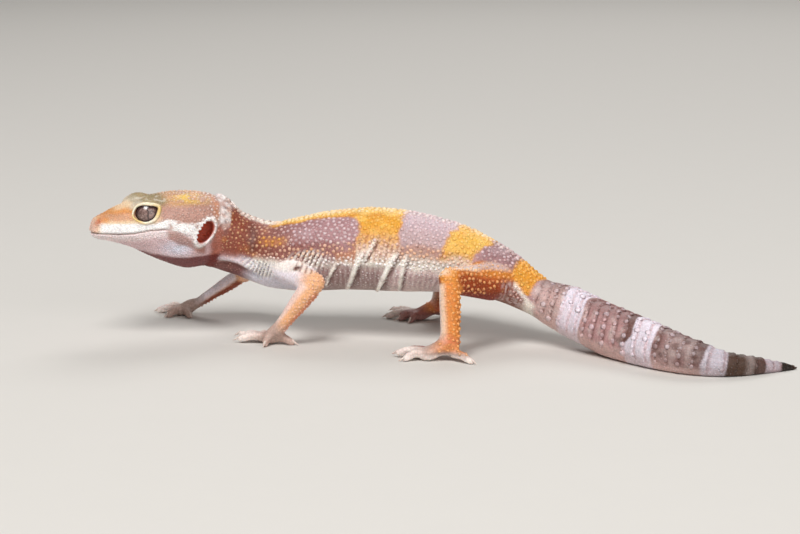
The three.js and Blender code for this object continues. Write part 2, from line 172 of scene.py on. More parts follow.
def random_places(draw, sizes, count):
    """Triangles drawn by their sizes, and for each the corner weights of a place drawn evenly in it."""
    chosen = draw.choice(len(sizes), count, p=sizes / sizes.sum())
    a, b = np.sort(draw.random((2, count)), axis=0)
    return chosen, np.stack([a, b - a, 1 - b], 1)


def point_tree(points):
    """A tree that finds the nearest of some points."""
    tree = KDTree(len(points))
    for index, point in enumerate(points):
        tree.insert(point, index)
    tree.balance()
    return tree


def surface_tree(mesh):
    """A tree that finds where rays meet a mesh, in millimetres."""
    faces = [tuple(face.vertices) for face in mesh.polygons]
    return BVHTree.FromPolygons([tuple(point) for point in points_of(mesh)], faces)


def put_points(mesh, points):
    """Moves a mesh's vertices to points given in millimetres."""
    mesh.vertices.foreach_set("co", (points * MM).ravel().astype(np.float32))
    mesh.update()


def put_attribute(mesh, name, kind, field, values):
    """Writes one value for each vertex as a named attribute."""
    old = mesh.attributes.get(name)
    if old:
        mesh.attributes.remove(old)
    mesh.attributes.new(name, kind, "POINT").data.foreach_set(field, values.ravel().astype(np.float32))


def put_colour(mesh, name, rgb):
    """Writes a linear colour for each vertex."""
    put_attribute(mesh, name, "FLOAT_COLOR", "color", np.column_stack([rgb, np.ones(len(rgb))]))


def get_attribute(mesh, name):
    """A named attribute as an array with a row for each vertex."""
    data = mesh.attributes[name]
    width, field = {"FLOAT": (1, "value"), "FLOAT_VECTOR": (3, "vector"), "FLOAT_COLOR": (4, "color")}[
        data.data_type
    ]
    return numbers(data.data, field, width)


def new_object(name, mesh):
    """A new object in the scene for a finished mesh, at the origin. An older one of that name goes."""
    old = bpy.data.objects.get(name)
    if old:
        bpy.data.objects.remove(old)
    piece = bpy.data.objects.new(name, mesh)
    bpy.context.scene.collection.objects.link(piece)
    return piece


def mesh_from(name, points, faces):
    """A mesh from points in millimetres and faces, with its normals made to point outwards."""
    mesh = bpy.data.meshes.new(name)
    mesh.from_pydata([tuple(p) for p in points * MM], [], faces)
    shell = bmesh.new()
    shell.from_mesh(mesh)
    bmesh.ops.recalc_face_normals(shell, faces=shell.faces)
    shell.to_mesh(mesh)
    shell.free()
    mesh.shade_smooth()
    return mesh


def add_node(tree, kind, inputs=None, **settings):
    """Adds a node with its settings; each input is a value, or the socket that feeds it."""
    made = tree.nodes.new(kind)
    for name, value in settings.items():
        setattr(made, name, value)
    for key, value in (inputs or {}).items():
        if isinstance(value, bpy.types.NodeSocket):
            tree.links.new(value, made.inputs[key])
        else:
            made.inputs[key].default_value = value
    return made


def math_of(tree, operation, *values):
    """The result of one operation on values or sockets."""
    return add_node(tree, "ShaderNodeMath", dict(enumerate(values)), operation=operation).outputs[0]


def disc_places(tree, vector):
    """A vector's x and y, and how far they lie from the middle."""
    x, y, _ = add_node(tree, "ShaderNodeSeparateXYZ", {0: vector}).outputs
    flat = add_node(tree, "ShaderNodeCombineXYZ", {0: x, 1: y}).outputs[0]
    return x, y, add_node(tree, "ShaderNodeVectorMath", {0: flat}, operation="LENGTH").outputs["Value"]


def applied(piece):
    """The piece's mesh with its modifiers made real."""
    depsgraph = bpy.context.evaluated_depsgraph_get()
    mesh = bpy.data.meshes.new_from_object(piece.evaluated_get(depsgraph), depsgraph=depsgraph)
    piece.modifiers.clear()
    return mesh


def neighbour_mean(values, edges, links):
    """For each vertex, the mean of the values at the vertices it shares an edge with."""
    columns = values.reshape(len(values), -1)
    result = np.empty_like(columns)
    for k in range(columns.shape[1]):
        total = np.bincount(edges[:, 0], columns[edges[:, 1], k], len(columns))
        total += np.bincount(edges[:, 1], columns[edges[:, 0], k], len(columns))
        result[:, k] = total / links
    return result.reshape(values.shape)


def relaxed(values, mesh, rounds, share=0.5):
    """Values of the vertices, averaged with their neighbours again and again."""
    edges = numbers(mesh.edges, "vertices", 2, np.int32)
    links = np.maximum(np.bincount(edges.ravel(), minlength=len(mesh.vertices)), 1)
    if isinstance(share, np.ndarray) and values.ndim > 1:
        share = share[:, None]
    for _ in range(rounds):
        values = values + (neighbour_mean(values, edges, links) - values) * share
    return values


# ---------------------------------------------------------------- where things are on the animal


def node_samples(names, per_square_mm=5.0):
    """Points spread evenly over the surfaces of CAD nodes, in millimetres, and each point's node number."""
    draw = np.random.default_rng(11)
    spots, owners = [], []
    for number, name in enumerate(names):
        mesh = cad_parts[name].data
        corners, areas = triangles_of(mesh)
        count = int(areas.sum() * per_square_mm) + 8
        chosen, weights = random_places(draw, areas, count)
        spots.append((points_of(mesh)[corners[chosen]] * weights[:, :, None]).sum(1))
        owners.append(np.full(count, number))
    return np.concatenate(spots), np.concatenate(owners)


class HeadPlace:
    """The head's own directions, read from the eyes and the snout."""

    def __init__(self):
        left, right = ((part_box(name)[0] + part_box(name)[1]) / 2 / MM for name in EYE_NODES)
        side = Vector((left.x - right.x, left.y - right.y, 0)).normalized()
        self.side = np.array(side)
        self.forward = np.array(side.cross(Vector((0, 0, 1))))
        points = points_of(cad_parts["head"].data)
        reach = points @ self.forward
        front = points[reach > reach.max() - 0.8]
        lips = points_of(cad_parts["lower_jaw"].data)
        reach_low = lips @ self.forward
        middle = (np.array(left) + np.array(right)) / 2
        origin = middle + self.forward * (reach.max() - middle @ self.forward)
        origin[2] = (front[:, 2].min() + lips[reach_low > reach_low.max() - 0.8][:, 2].max()) / 2
        self.origin = origin
        self.eyes = {"left": np.array(left), "right": np.array(right)}

    def of(self, points):
        """Back from the snout, side towards the left, and above the lips."""
        shift = points - self.origin
        return -shift @ self.forward, shift @ self.side, shift[:, 2]


class SpinePlace:
    """The middle line of neck, trunk and tail, read from slices of their nodes."""

    slice_width = 2.5
    step = 0.5

    def __init__(self):
        spots, _ = node_samples(SPINE_NODES)
        cuts = np.arange(spots[:, 0].min(), spots[:, 0].max(), self.slice_width)
        slices = [spots[(spots[:, 0] >= x) & (spots[:, 0] < x + self.slice_width)] for x in cuts]
        path = np.array([part.mean(0) for part in slices if len(part) > 3])
        for _ in range(2):
            path[1:-1] = path[1:-1] / 2 + (path[:-2] + path[2:]) / 4
        tip = spots[spots[:, 0].argmax()]
        path = np.vstack([path, tip])
        lengths = np.concatenate([[0], np.cumsum(np.linalg.norm(np.diff(path, axis=0), axis=1))])
        marks = np.arange(0, lengths[-1], self.step)
        path = np.stack([np.interp(marks, lengths, path[:, k]) for k in range(3)], 1)
        for _ in range(12):
            path[1:-1] = path[1:-1] / 2 + (path[:-2] + path[2:]) / 4
        self.path = path
        self.marks = np.concatenate([[0], np.cumsum(np.linalg.norm(np.diff(path, axis=0), axis=1))])
        self.length = self.marks[-1]
        self.along = unit(np.gradient(path, axis=0))
        self.left = unit(np.cross(self.along, [0, 0, 1]))
        self.over = np.cross(self.left, self.along)

    def of(self, points):
        """Along from the back of the head, degrees around from the back towards the left, and radius."""
        nearest = np.empty(len(points), int)
        for start in range(0, len(points), 20000):
            part = points[start : start + 20000, None]
            nearest[start : start + 20000] = ((part - self.path[None]) ** 2).sum(2).argmin(1)
        shift = points - self.path[nearest]
        ahead = (shift * self.along[nearest]).sum(1)
        left = (shift * self.left[nearest]).sum(1)
        over = (shift * self.over[nearest]).sum(1)
        return self.marks[nearest] + ahead, np.degrees(np.arctan2(left, over)), np.hypot(left, over)


class LimbPlace:
    """The axes of the limb segments: where each starts and which way it runs."""

    def __init__(self):
        self.middle, self.axis, self.reach, self.front, self.out = {}, {}, {}, {}, {}
        for side in SIDES:
            outward = np.array([0, -1.0 if side == "left" else 1.0, 0])
            for segments in (ARM_SEGMENTS, LEG_SEGMENTS):
                names = [f"{segment}_{side}" for segment in segments]
                spots = [node_samples([name])[0] for name in names]
                for order, name in enumerate(names):
                    middle = spots[order].mean(0)
                    axis = np.linalg.eigh(np.cov((spots[order] - middle).T))[1][:, -1]
                    onward = spots[order + 1].mean(0) - middle if order < 2 else middle - spots[1].mean(0)
                    axis = axis * np.sign(axis @ onward)
                    self.middle[name], self.axis[name] = middle, axis
                    self.reach[name] = np.abs((spots[order] - middle) @ axis).max()
                    ahead = np.array([-1.0, 0, 0])
                    self.front[name] = unit(ahead - axis * (ahead @ axis))
                    self.out[name] = unit(outward - axis * (outward @ axis))

    def of(self, name, points):
        """From -1 at the start to 1 at the end of a segment, and the unit direction away from its axis."""
        shift = points - self.middle[name]
        ahead = shift @ self.axis[name]
        return ahead / self.reach[name], unit(shift - ahead[:, None] * self.axis[name])


HEAD = HeadPlace()
SPINE = SpinePlace()
LIMBS = LimbPlace()


# ---------------------------------------------------------------- the skin's shape


def flesh_block(swell):
    """All flesh as one mesh of overlapping closed shells, each grown by swell so that the parting gaps close.

    The eyeballs are in it as fillers: without them the thin lids would leave holes.
    """
    block = bmesh.new()
    for name in FLESH_NODES + EYE_NODES:
        shell = bmesh.new()
        shell.from_mesh(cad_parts[name].data)
        bmesh.ops.remove_doubles(shell, verts=shell.verts, dist=0.001 * MM)
        shell.normal_update()
        for vertex in shell.verts:
            vertex.co += vertex.normal * swell * MM
        mesh = bpy.data.meshes.new(name)
        shell.to_mesh(mesh)
        shell.free()
        block.from_mesh(mesh)
        bpy.data.meshes.remove(mesh)
    mesh = bpy.data.meshes.new("skin")
    block.to_mesh(mesh)
    block.free()
    return mesh


def nearest_shares(mesh, points, rounds):
    """How much each vertex belongs to each flesh node, blended over the joints between nodes."""
    spots, owners = node_samples(FLESH_NODES)
    tree = point_tree(spots)
    nearest = np.array([tree.find(point)[1] for point in points])
    shares = (owners[nearest][:, None] == np.arange(len(FLESH_NODES))[None]).astype(float)
    shares = relaxed(shares, mesh, rounds)
    return {name: shares[:, number] for number, name in enumerate(FLESH_NODES)}


def base_skin(settings):
    """The flesh as one closed, softened skin, fine on head, feet and tail and coarser on the trunk."""
    swell = settings.swell / MM
    skin = new_object("skin", flesh_block(swell))
    remesh = skin.modifiers.new("one surface", "REMESH")
    remesh.mode = "VOXEL"
    remesh.voxel_size = settings.grid
    skin.data = applied(skin)
    mesh = skin.data
    points = points_of(mesh)
    back, _, _ = HEAD.of(points)
    along, around, radius = SPINE.of(points)
    on_head = fall(back, 22, 26)
    on_paw = fall(points[:, 2], 2.2, 3.4) * fall(along, 76, 82)
    on_tail = smooth_step(along, 70, 76)
    softness = 0.55 - 0.35 * on_paw - 0.15 * on_head
    points = relaxed(points, mesh, settings.softening, softness)
    points[:, 2] = np.maximum(points[:, 2], -swell)
    put_points(mesh, points)
    on_folds = window(along, 3, 51, 4) * window(np.abs(around), 72, 146, 8) * (radius < 12)
    edge = settings.coarse_edge / MM * np.ones(len(points))
    for mask, length in ((on_folds, 0.25), (on_tail, 0.29), (on_paw, 0.235), (on_head, 0.215)):
        edge += (length - edge) * mask
    keep = np.round((1 - settings.grid / MM / edge) * 40) / 40
    group = skin.vertex_groups.new(name="coarser")
    for value in np.unique(keep):
        group.add([int(i) for i in np.nonzero(keep == value)[0]], float(max(value, 0.02)), "REPLACE")
    thin = skin.modifiers.new("fewer faces", "DECIMATE")
    thin.ratio = settings.skin_faces / (2 * len(points))
    thin.vertex_group = group.name
    thin.vertex_group_factor = 1.0
    thin.use_collapse_triangulate = True
    mesh = applied(skin)
    skin.vertex_groups.clear()
    skin.data = mesh
    points = points_of(mesh)
    points = relaxed(points, mesh, 2, 0.4)
    put_points(mesh, points)
    return skin


class Places:
    """Every coordinate of the skin's vertices that shaping and painting read."""

    def __init__(self, mesh, shares):
        self.points = points_of(mesh)
        self.normals = numbers(mesh.vertex_normals, "vector", 3)
        self.back, self.side, self.above = HEAD.of(self.points)
        self.along, self.around, self.radius = SPINE.of(self.points)
        self.turn = np.abs(self.around)
        self.shares = shares
        self.head = shares["head"] + shares["lower_jaw"]
        self.limb = sum(shares[name] for name in LIMB_NODES)
        self.paw = self.of_parts("hand", "foot")
        self.torso = 1 - self.head - self.limb
        self.ear = ear_size(self)

    def of_parts(self, *parts):
        """How much each vertex belongs to some parts of the limbs, on either side."""
        return sum(self.shares[f"{part}_{side}"] for side in SIDES for part in parts)


# The line where the lips meet: back from the snout and above the lips at the snout.
LIP_CURVE = ((-1.0, 0.0), (4.7, -0.1), (7.5, 0.1), (10.3, 0.65), (13.2, 0.8), (15.4, 0.2), (17.6, -0.5))
MOUTH_CORNER = 13.8
LABIAL_LENGTH = 1.05  # one scale along the lips
EYE_RADIUS = (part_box("eye_left")[1].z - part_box("eye_left")[0].z) / 2 / MM
EYE_AIM = (math.radians(14), math.radians(6))  # how far the gaze leaves straight sideways: forward, up
# The opening between the lids: degrees up from the snout's direction, and how far away its edge is.
LID_OUTLINE = (
    (-180, 1.6), (-155, 1.4), (-110, 1.3), (-75, 1.5), (-45, 1.75), (-10, 2.55), (5, 2.45), (30, 2.25),
    (55, 1.85), (80, 1.55), (110, 1.5), (135, 1.85), (150, 2.2), (165, 1.85), (180, 1.6),
)
EAR = {"back": 20.4, "above": 0.0, "half_tall": 2.15, "half_wide": 1.2, "deep": 1.5, "lean": math.radians(35)}
NOSTRIL = {"back": 1.15, "side": 2.05, "above": 2.3, "radius": 0.34}

# Folds of loose skin on the flanks: along the spine and degrees around at the top, middle and low end.
FLANK_FOLDS = (
    {"along": (32.3, 30.4, 27.9), "around": (82, 108, 146), "high": 0.85, "wide": 0.55},
    {"along": (27.3, 25.5, 23.9), "around": (96, 116, 138), "high": 0.45, "wide": 0.4},
    {"along": (38.2, 36.3, 33.9), "around": (82, 110, 148), "high": 1.0, "wide": 0.62},
    {"along": (40.1, 39.5, 38.6), "around": (84, 111, 147), "high": 0.7, "wide": 0.4},
    {"along": (34.3, 33.3, 31.8), "around": (66, 82, 101), "high": 0.4, "wide": 0.4},
    {"along": (46.8, 46.0, 44.6), "around": (96, 116, 136), "high": 0.3, "wide": 0.5},
)
PAINTED_FOLD = 0.4  # a fold at least so high shows white on its crest
# Bunches of fine wrinkles: middle along and around, half sizes, spacing of the wrinkles and their depth.
WRINKLES = (
    {"along": 21.4, "around": 93, "half": (3.0, 14), "spacing": 1.05, "lean": 0.085, "deep": 0.45},
    {"along": 12.0, "around": 110, "half": (3.0, 15), "spacing": 0.85, "lean": 0.05, "deep": 0.34},
    {"along": 62.8, "around": 96, "half": (2.0, 24), "spacing": 0.8, "lean": 0.0, "deep": 0.2},
)
# Whorls of the tail: where along the spine, and how long a whorl is there.
WHORL_LENGTHS = ((62, 1.9), (76, 2.1), (88, 2.7), (98, 2.4), (108, 1.9), (121, 1.4))
TAIL_START = 65.0
# Round dark spots of the tail: along the spine, degrees around, and radius.
TAIL_SPOTS = ((99.0, 64, 0.75), (100.2, 42, 0.6), (96.2, 20, 0.5), (97.0, 92, 0.45), (102.0, 78, 0.4))


def eye_axes(side):
    """Centre of an eyeball and its directions: towards the snout, upwards and along the gaze."""
    sideways = HEAD.side if side == "left" else -HEAD.side
    forward, up = EYE_AIM
    level = sideways * math.cos(forward) + HEAD.forward * math.sin(forward)
    gaze = level * math.cos(up) + np.array([0, 0, math.sin(up)])
    onward = HEAD.forward * math.cos(forward) - sideways * math.sin(forward)
    rise = np.cross(onward, gaze) * (1 if side == "left" else -1)
    return HEAD.eyes[side], onward, rise, gaze


def lid_reach(onward, rise):
    """How far out the edge of the lids lies in the direction of a point, seen along the gaze."""
    outline = np.array(LID_OUTLINE)
    return np.interp(np.degrees(np.arctan2(rise, onward)), outline[:, 0], outline[:, 1])


def lid_distance(onward, rise):
    """How far outside the edge of the lids a point lies, seen along the gaze; negative in the opening."""
    return np.hypot(onward, rise) - lid_reach(onward, rise)


def open_eyes(points):
    """Pushes the skin in the lid openings back behind the eyeballs."""
    for side in SIDES:
        centre, onward, rise, gaze = eye_axes(side)
        shift = points - centre
        outward = shift @ gaze
        gap = lid_distance(shift @ onward, shift @ rise)
        inside = fall(gap, 0.1, 0.4) * smooth_step(outward, 0.2, 0.8)
        depth = np.linalg.norm(shift, axis=1)
        target = np.minimum(depth, EYE_RADIUS - 0.55)
        points = points + unit(shift) * ((target - depth) * inside)[:, None]
    return points


def ear_size(place):
    """How many times the ear opening has to grow to reach each vertex; its front edge is ragged."""
    turned_back = place.back - EAR["back"]
    high = place.above - EAR["above"]
    sine, cosine = math.sin(EAR["lean"]), math.cos(EAR["lean"])
    across = turned_back * cosine - high * sine
    up = turned_back * sine + high * cosine
    ragged = 0.18 * np.sin(up * 2 * math.pi / 0.75) * (across < 0)
    size = np.hypot((across + ragged) / EAR["half_wide"], up / EAR["half_tall"])
    return np.where(np.abs(place.side) > 3, size, 9.0)


def lip_gap(place):
    """How far above the line of the lips each vertex lies."""
    line = np.array(LIP_CURVE)
    return place.above - np.interp(place.back, line[:, 0], line[:, 1])


def nostril_reach(place):
    """How far each vertex lies from the nostril of its side."""
    spot = np.stack([place.back, np.abs(place.side), place.above], 1)
    return np.linalg.norm(spot - [NOSTRIL["back"], NOSTRIL["side"], NOSTRIL["above"]], axis=1)


def head_relief(place):
    """How far the head's skin stands out or in: lips, nostrils, ears and the soft of the cheeks."""
    over = lip_gap(place)
    mouth = fall(place.back, MOUTH_CORNER - 1.2, MOUTH_CORNER + 0.6)
    relief = -0.26 * bump_at(over, 0, 0.14) * mouth
    relief += (0.08 * bump_at(over, 0.5, 0.4) + 0.06 * bump_at(over, -0.5, 0.4)) * mouth
    scale_edge = bump_at((place.back / LABIAL_LENGTH) % 1, 0.5, 0.13)
    lips = window(np.abs(over), 0.18, 1.15, 0.2) * mouth * smooth_step(np.abs(place.side), 0.8, 1.6)
    relief -= 0.03 * scale_edge * lips
    crease = window(place.back, MOUTH_CORNER, 18.6, 1.2) * bump_at(over, -0.2, 0.35)
    relief -= 0.1 * crease
    reach = nostril_reach(place)
    relief += 0.1 * bump_at(reach, 0.62, 0.2) - 0.42 * bump_at(reach, 0, NOSTRIL["radius"])
    relief -= EAR["deep"] * fall(place.ear, 0.8, 1.12)
    relief += 0.22 * bump_at(place.ear, 1.28, 0.16)
    relief += 0.4 * window(place.back, 4, 22, 3) * smooth_step(-place.above, 2.6, 4.4)
    relief += 0.16 * bump_at(place.back, 15.8, 2.2) * bump_at(place.above, -2.4, 1.6)
    relief -= 0.2 * bump_at(place.back, 12.2, 1.3) * bump_at(place.above, -2.2, 1.2)
    return relief * (place.head > 0.25) * place.head


def fold_relief(place):
    """Loose folds that hang on the flanks, and the fine wrinkles behind arm, chest and thigh."""
    relief = np.zeros(len(place.points))
    for fold in FLANK_FOLDS:
        along = np.interp(place.turn, fold["around"], fold["along"])
        tilt = np.gradient(np.interp(fold["around"], fold["around"], fold["along"])).mean()
        ahead = (place.along - along) / math.hypot(1, tilt / 3.4)
        top, _, low = fold["around"]
        share = np.clip((place.turn - top) / (low - top), 0, 1)
        fade = smooth_step(place.turn, top - 4, top + 14) * fall(place.turn, low - 6, low + 8)
        swell = fold["high"] * (0.35 + 0.65 * share) * fade
        wide = fold["wide"] * (1.05 - 0.35 * share)
        ridge = np.where(ahead < 0, bump_at(ahead, 0, wide), bump_at(ahead, 0, wide * 0.6))
        relief += swell * (ridge - 0.42 * bump_at(ahead, wide * 1.7, wide * 0.8))
    for patch in WRINKLES:
        inside = bump_at(place.along, patch["along"], patch["half"][0])
        inside *= bump_at(place.turn, patch["around"], patch["half"][1])
        relief += patch["deep"] * inside * stripes(wrinkle_phase(place, patch))
    neck_line = 119 + 4 * smooth_step(place.along, 4, 8)
    collar = window(place.along, 2.5, 11, 2.5) * place.torso
    relief += 0.35 * collar * bump_at(place.turn, neck_line - 7, 7)
    relief -= 0.45 * collar * bump_at(place.turn, neck_line + 7, 6)
    relief += 0.1 * cloud(place.points, 3.2, 5) * (1 - place.paw)
    relief += 0.4 * window(place.back, 24, 28, 1.8) * fall(place.turn, 40, 75)
    relief -= 0.3 * neck_crease(place)
    ribs = stripes(rib_phase(place)) * window(place.turn, 66, 122, 10) * window(place.along, 17, 51, 3)
    relief += 0.05 * ribs
    return relief * (1 - place.limb) * (1 - place.head)


def neck_crease(place):
    """1 in the crease that runs down each side of the neck, well behind the ear."""
    return bump_at(place.back, 29.8 + 0.2 * place.above, 0.8) * window(place.above, -4.4, 0.8, 1.2)


def rib_phase(place):
    """How many of the fine ribs on the flank's skin lie before each vertex."""
    return (place.along + 0.02 * place.turn) / 0.95 + 0.2 * cloud(place.points, 2.0, 32)


def wrinkle_phase(place, patch):
    """How many wrinkles of a bunch lie before each vertex."""
    return (place.along + patch["lean"] * place.turn) / patch["spacing"] + 0.12 * cloud(place.points, 1.6, 31)


def whorl_phase(along):
    """How many whorls of the tail lie between its start and a place along the spine."""
    marks = np.arange(50.0, SPINE.length + 6, 0.1)
    lengths = np.array(WHORL_LENGTHS)
    counted = np.cumsum(0.1 / np.interp(marks, lengths[:, 0], lengths[:, 1]))
    counted -= np.interp(TAIL_START, marks, counted)
    return np.interp(along, marks, counted)


def ring_bow(along, turn):
    """How far the tail's rings bow towards its tip on the sides."""
    return 1.8 * smooth_step(turn, 0, 70) * fall(along, 92, 104) * smooth_step(along, 62, 68)


def ring_place(place):
    """Along the spine, counted so that every ring of the tail keeps one value all round."""
    return place.along - ring_bow(place.along, place.turn)


def tail_relief(place):
    """The rings of the tail: each swells towards its rear edge and drops into a groove."""
    share = whorl_phase(ring_place(place)) % 1
    ring = share**1.3 * fall(share, 0.84, 1.0) - 0.35
    strength = smooth_step(place.along, TAIL_START - 2, TAIL_START + 3)
    strength *= fall(place.along, 113, 119)
    strength *= 1 - 0.75 * smooth_step(place.turn, 105, 140)
    strength *= 1 + 0.35 * window(place.along, 74, 92, 3)
    return 0.3 * ring * strength


def limb_relief(place):
    """Creases across the toes and at the wrists, and soft muscle on the limbs."""
    relief = 0.07 * cloud(place.points, 2.0, 17) * place.limb * (1 - place.paw)
    phase = place.points @ np.array([0.93, 0.3, 0.2]) / 0.62
    relief -= 0.045 * bump_at(phase % 1, 0.5, 0.2) * place.paw
    for side in SIDES:
        share, away = LIMBS.of(f"thigh_{side}", place.points)
        below = smooth_step(-away[:, 2], -0.1, 0.7) * window(share, -0.8, 0.75, 0.35)
        relief += 0.8 * below * place.shares[f"thigh_{side}"]
    return relief


def make_skin(settings):
    """The finished skin: base shape set in by the depth of the scales, then openings, folds and rings."""
    skin = base_skin(settings)
    mesh = skin.data
    points = points_of(mesh)
    shares = nearest_shares(mesh, points, 6)
    place = Places(mesh, shares)
    near_floor = fall(points[:, 2], 0.3, 1.2) * smooth_step(-place.normals[:, 2], 0.2, 0.8)
    set_in = (settings.swell + settings.scale_depth) / MM * (1 - 0.45 * place.paw)
    points = points - place.normals * (set_in * (1 - near_floor))[:, None]
    put_points(mesh, points)
    place = Places(mesh, shares)
    relief = head_relief(place) + fold_relief(place) + tail_relief(place) + limb_relief(place)
    relief *= 1 - near_floor
    points = place.points + place.normals * relief[:, None]
    points = open_eyes(points)
    points[:, 2] = np.maximum(points[:, 2], 0)
    put_points(mesh, points)
    finished = Places(mesh, shares)
    finished.ear = place.ear
    return skin, finished


# ---------------------------------------------------------------- the skin's markings

# Yellow bands across the back, and the grey saddle between two of them: start and end along the spine.
YELLOW_BANDS = ((28.4, 38.0), (48.0, 53.4), (59.4, 64.6))
GREY_SADDLE = (38, 49)
# White bands of the tail: start and end along the spine, and how far the start slants forward on the sides.
WHITE_BANDS = ((70.6, 76.0, 0), (88.2, 93.5, 1.6), (103.3, 106.4, 0.3), (113.2, 116.8, 0))
# Upper edge of the white of lip and cheek, lower edge of the throat's side where the painted shadow under the
# throat
# begins, and lower edge of the collar: places back from the snout, and how far above or below the lips the
# edge lies there.
LIP_WHITE = ((0.0, 8.0, 11.0, 13.0, 16.0, 18.0, 21.0), (1.75, 1.9, 1.9, 2.5, 2.0, 1.7, 2.4))
THROAT_EDGE = ((4.0, 6.4, 13.0, 16.0, 21.0), (2.4, 2.9, 4.3, 4.7, 4.3))
COLLAR_EDGE = ((22.6, 24.2, 25.4, 26.0, 28.1, 32.0), (1.6, 0.0, 0.6, 3.5, 3.9, 2.8))


class Coat:
    """The colours of a set of vertices: a ground, and layers laid over it one by one."""

    def __init__(self, ground, count=None):
        self.rgb = ground if count is None else np.tile(ground, (count, 1))

    def add(self, colour, amount):
        """Moves the colours towards one colour, by an amount for each vertex."""
        self.rgb = self.rgb + (colour[None] - self.rgb) * np.clip(amount, 0, 1)[:, None]

    def darken(self, amount):
        """Takes away a share of the light at each vertex."""
        self.rgb = self.rgb * (1 - amount)[:, None]


def lumps(place, size, seed, start, end):
    """1 in the lumps of the noise and 0 between them, with a soft edge from start to end."""
    return smooth_step(cloud(place.points, size, seed), start, end)


def spots(points, spacing, reach, seed, chance):
    """Round dots: 1 in the middle of a dot and 0 away from it, on a jittered grid with gaps."""
    draw = np.random.default_rng(seed)
    low = points.min(0) - spacing
    shape = np.ceil((points.max(0) + spacing - low) / spacing).astype(int)
    places = np.stack(np.meshgrid(*[np.arange(n) for n in shape], indexing="ij"), -1).reshape(-1, 3)
    kept = draw.random(len(places)) < chance
    centres = (places + draw.random(places.shape))[kept] * spacing + low
    tree = point_tree(centres)
    reaches = np.array([tree.find(point)[2] for point in points])
    return fall(reaches, reach * 0.75, reach * 1.1)


class TrunkPlace:
    """Where the trunk's markings lie: their edges drift, and its layers share the bands and the ribs."""

    def __init__(self, place):
        self.skin = place
        self.turn = place.turn
        self.along = place.along + (0.55 * cloud(place.points, 2.6, 3) + 0.3 * cloud(place.points, 1.1, 4))
        self.high = place.turn + 5 * cloud(place.points, 2.2, 8)
        self.rib = stripes(rib_phase(place))
        self.fold = 61.0 + 4.4 * smooth_step(self.turn, 72, 100)  # the crease in front of the tail
        first, second, third = YELLOW_BANDS
        along, high = self.along, self.high
        bands = window(along, first[0] + 3.0 * smooth_step(high, 22, 45), first[1], 0.7)
        later = window(along + 1.6 * smooth_step(high, 20, 80), *second, 0.7) * (along > 40)
        bands = np.maximum(bands, later)
        bands = np.maximum(bands, window(along, *third, 0.8) * (self.turn < 84))
        self.yellow = np.maximum(bands, window(along, 13, 31, 4) * fall(high, 20, 30))


def neck_layers(coat, at, hue):
    """Lavender saddles as the ground, and the rust and orange of the neck over them."""
    along, turn, high = at.along, at.turn, at.high
    grey = window(along, *GREY_SADDLE, 3)
    coat.add(hue.lavender_grey, grey * 0.6)
    coat.add(hue.lavender_pale, 0.45 * lumps(at.skin, 2.4, 12, 0.1, 0.8))
    coat.add(hue.lavender_pale, 0.8 * grey * fall(turn, 35, 62))
    coat.add(hue.neck_brown, fall(along, 13, 26) * 0.85)
    neck = fall(along, 8, 14)
    coat.add(hue.rust, neck * lumps(at.skin, 3, 14, -0.6, 0.3) * 0.85)
    coat.add(hue.rust, window(along, 6, 27, 4) * window(high, 68, 92, 10) * 0.5)
    coat.add(hue.orange, 0.4 * (lumps(at.skin, 1.6, 15, 0.05, 0.6) * neck) * window(high, 30, 100, 12))
    coat.add(hue.orange, window(along, 11, 17, 4) * window(high, 54, 68, 10) * 0.45)


def band_layers(coat, at, hue):
    """The yellow bands and the yellow line of the back, lemon on top and orange at the edges."""
    along, high, yellow = at.along, at.high, at.yellow
    coat.add(hue.yellow, yellow)
    coat.add(hue.lemon, 0.4 * yellow * window(along, 45, 56, 2))
    coat.add(hue.lemon, 0.75 * yellow * fall(high, 8, 34) * (along < 45))
    coat.add(hue.lemon, 0.5 * yellow * lumps(at.skin, 0.9, 22, 0.05, 0.5))
    edge = yellow * (1 - yellow) * 4
    coat.add(hue.orange, edge * 0.5 + 0.4 * yellow * lumps(at.skin, 1.5, 21, 0.1, 0.7))
    coat.add(hue.orange, window(along, *YELLOW_BANDS[2], 1) * (at.turn < 84) * 0.6)
    coat.add(hue.cream, window(along, 1, 13, 3) * fall(high, 4, 16) * 0.85)


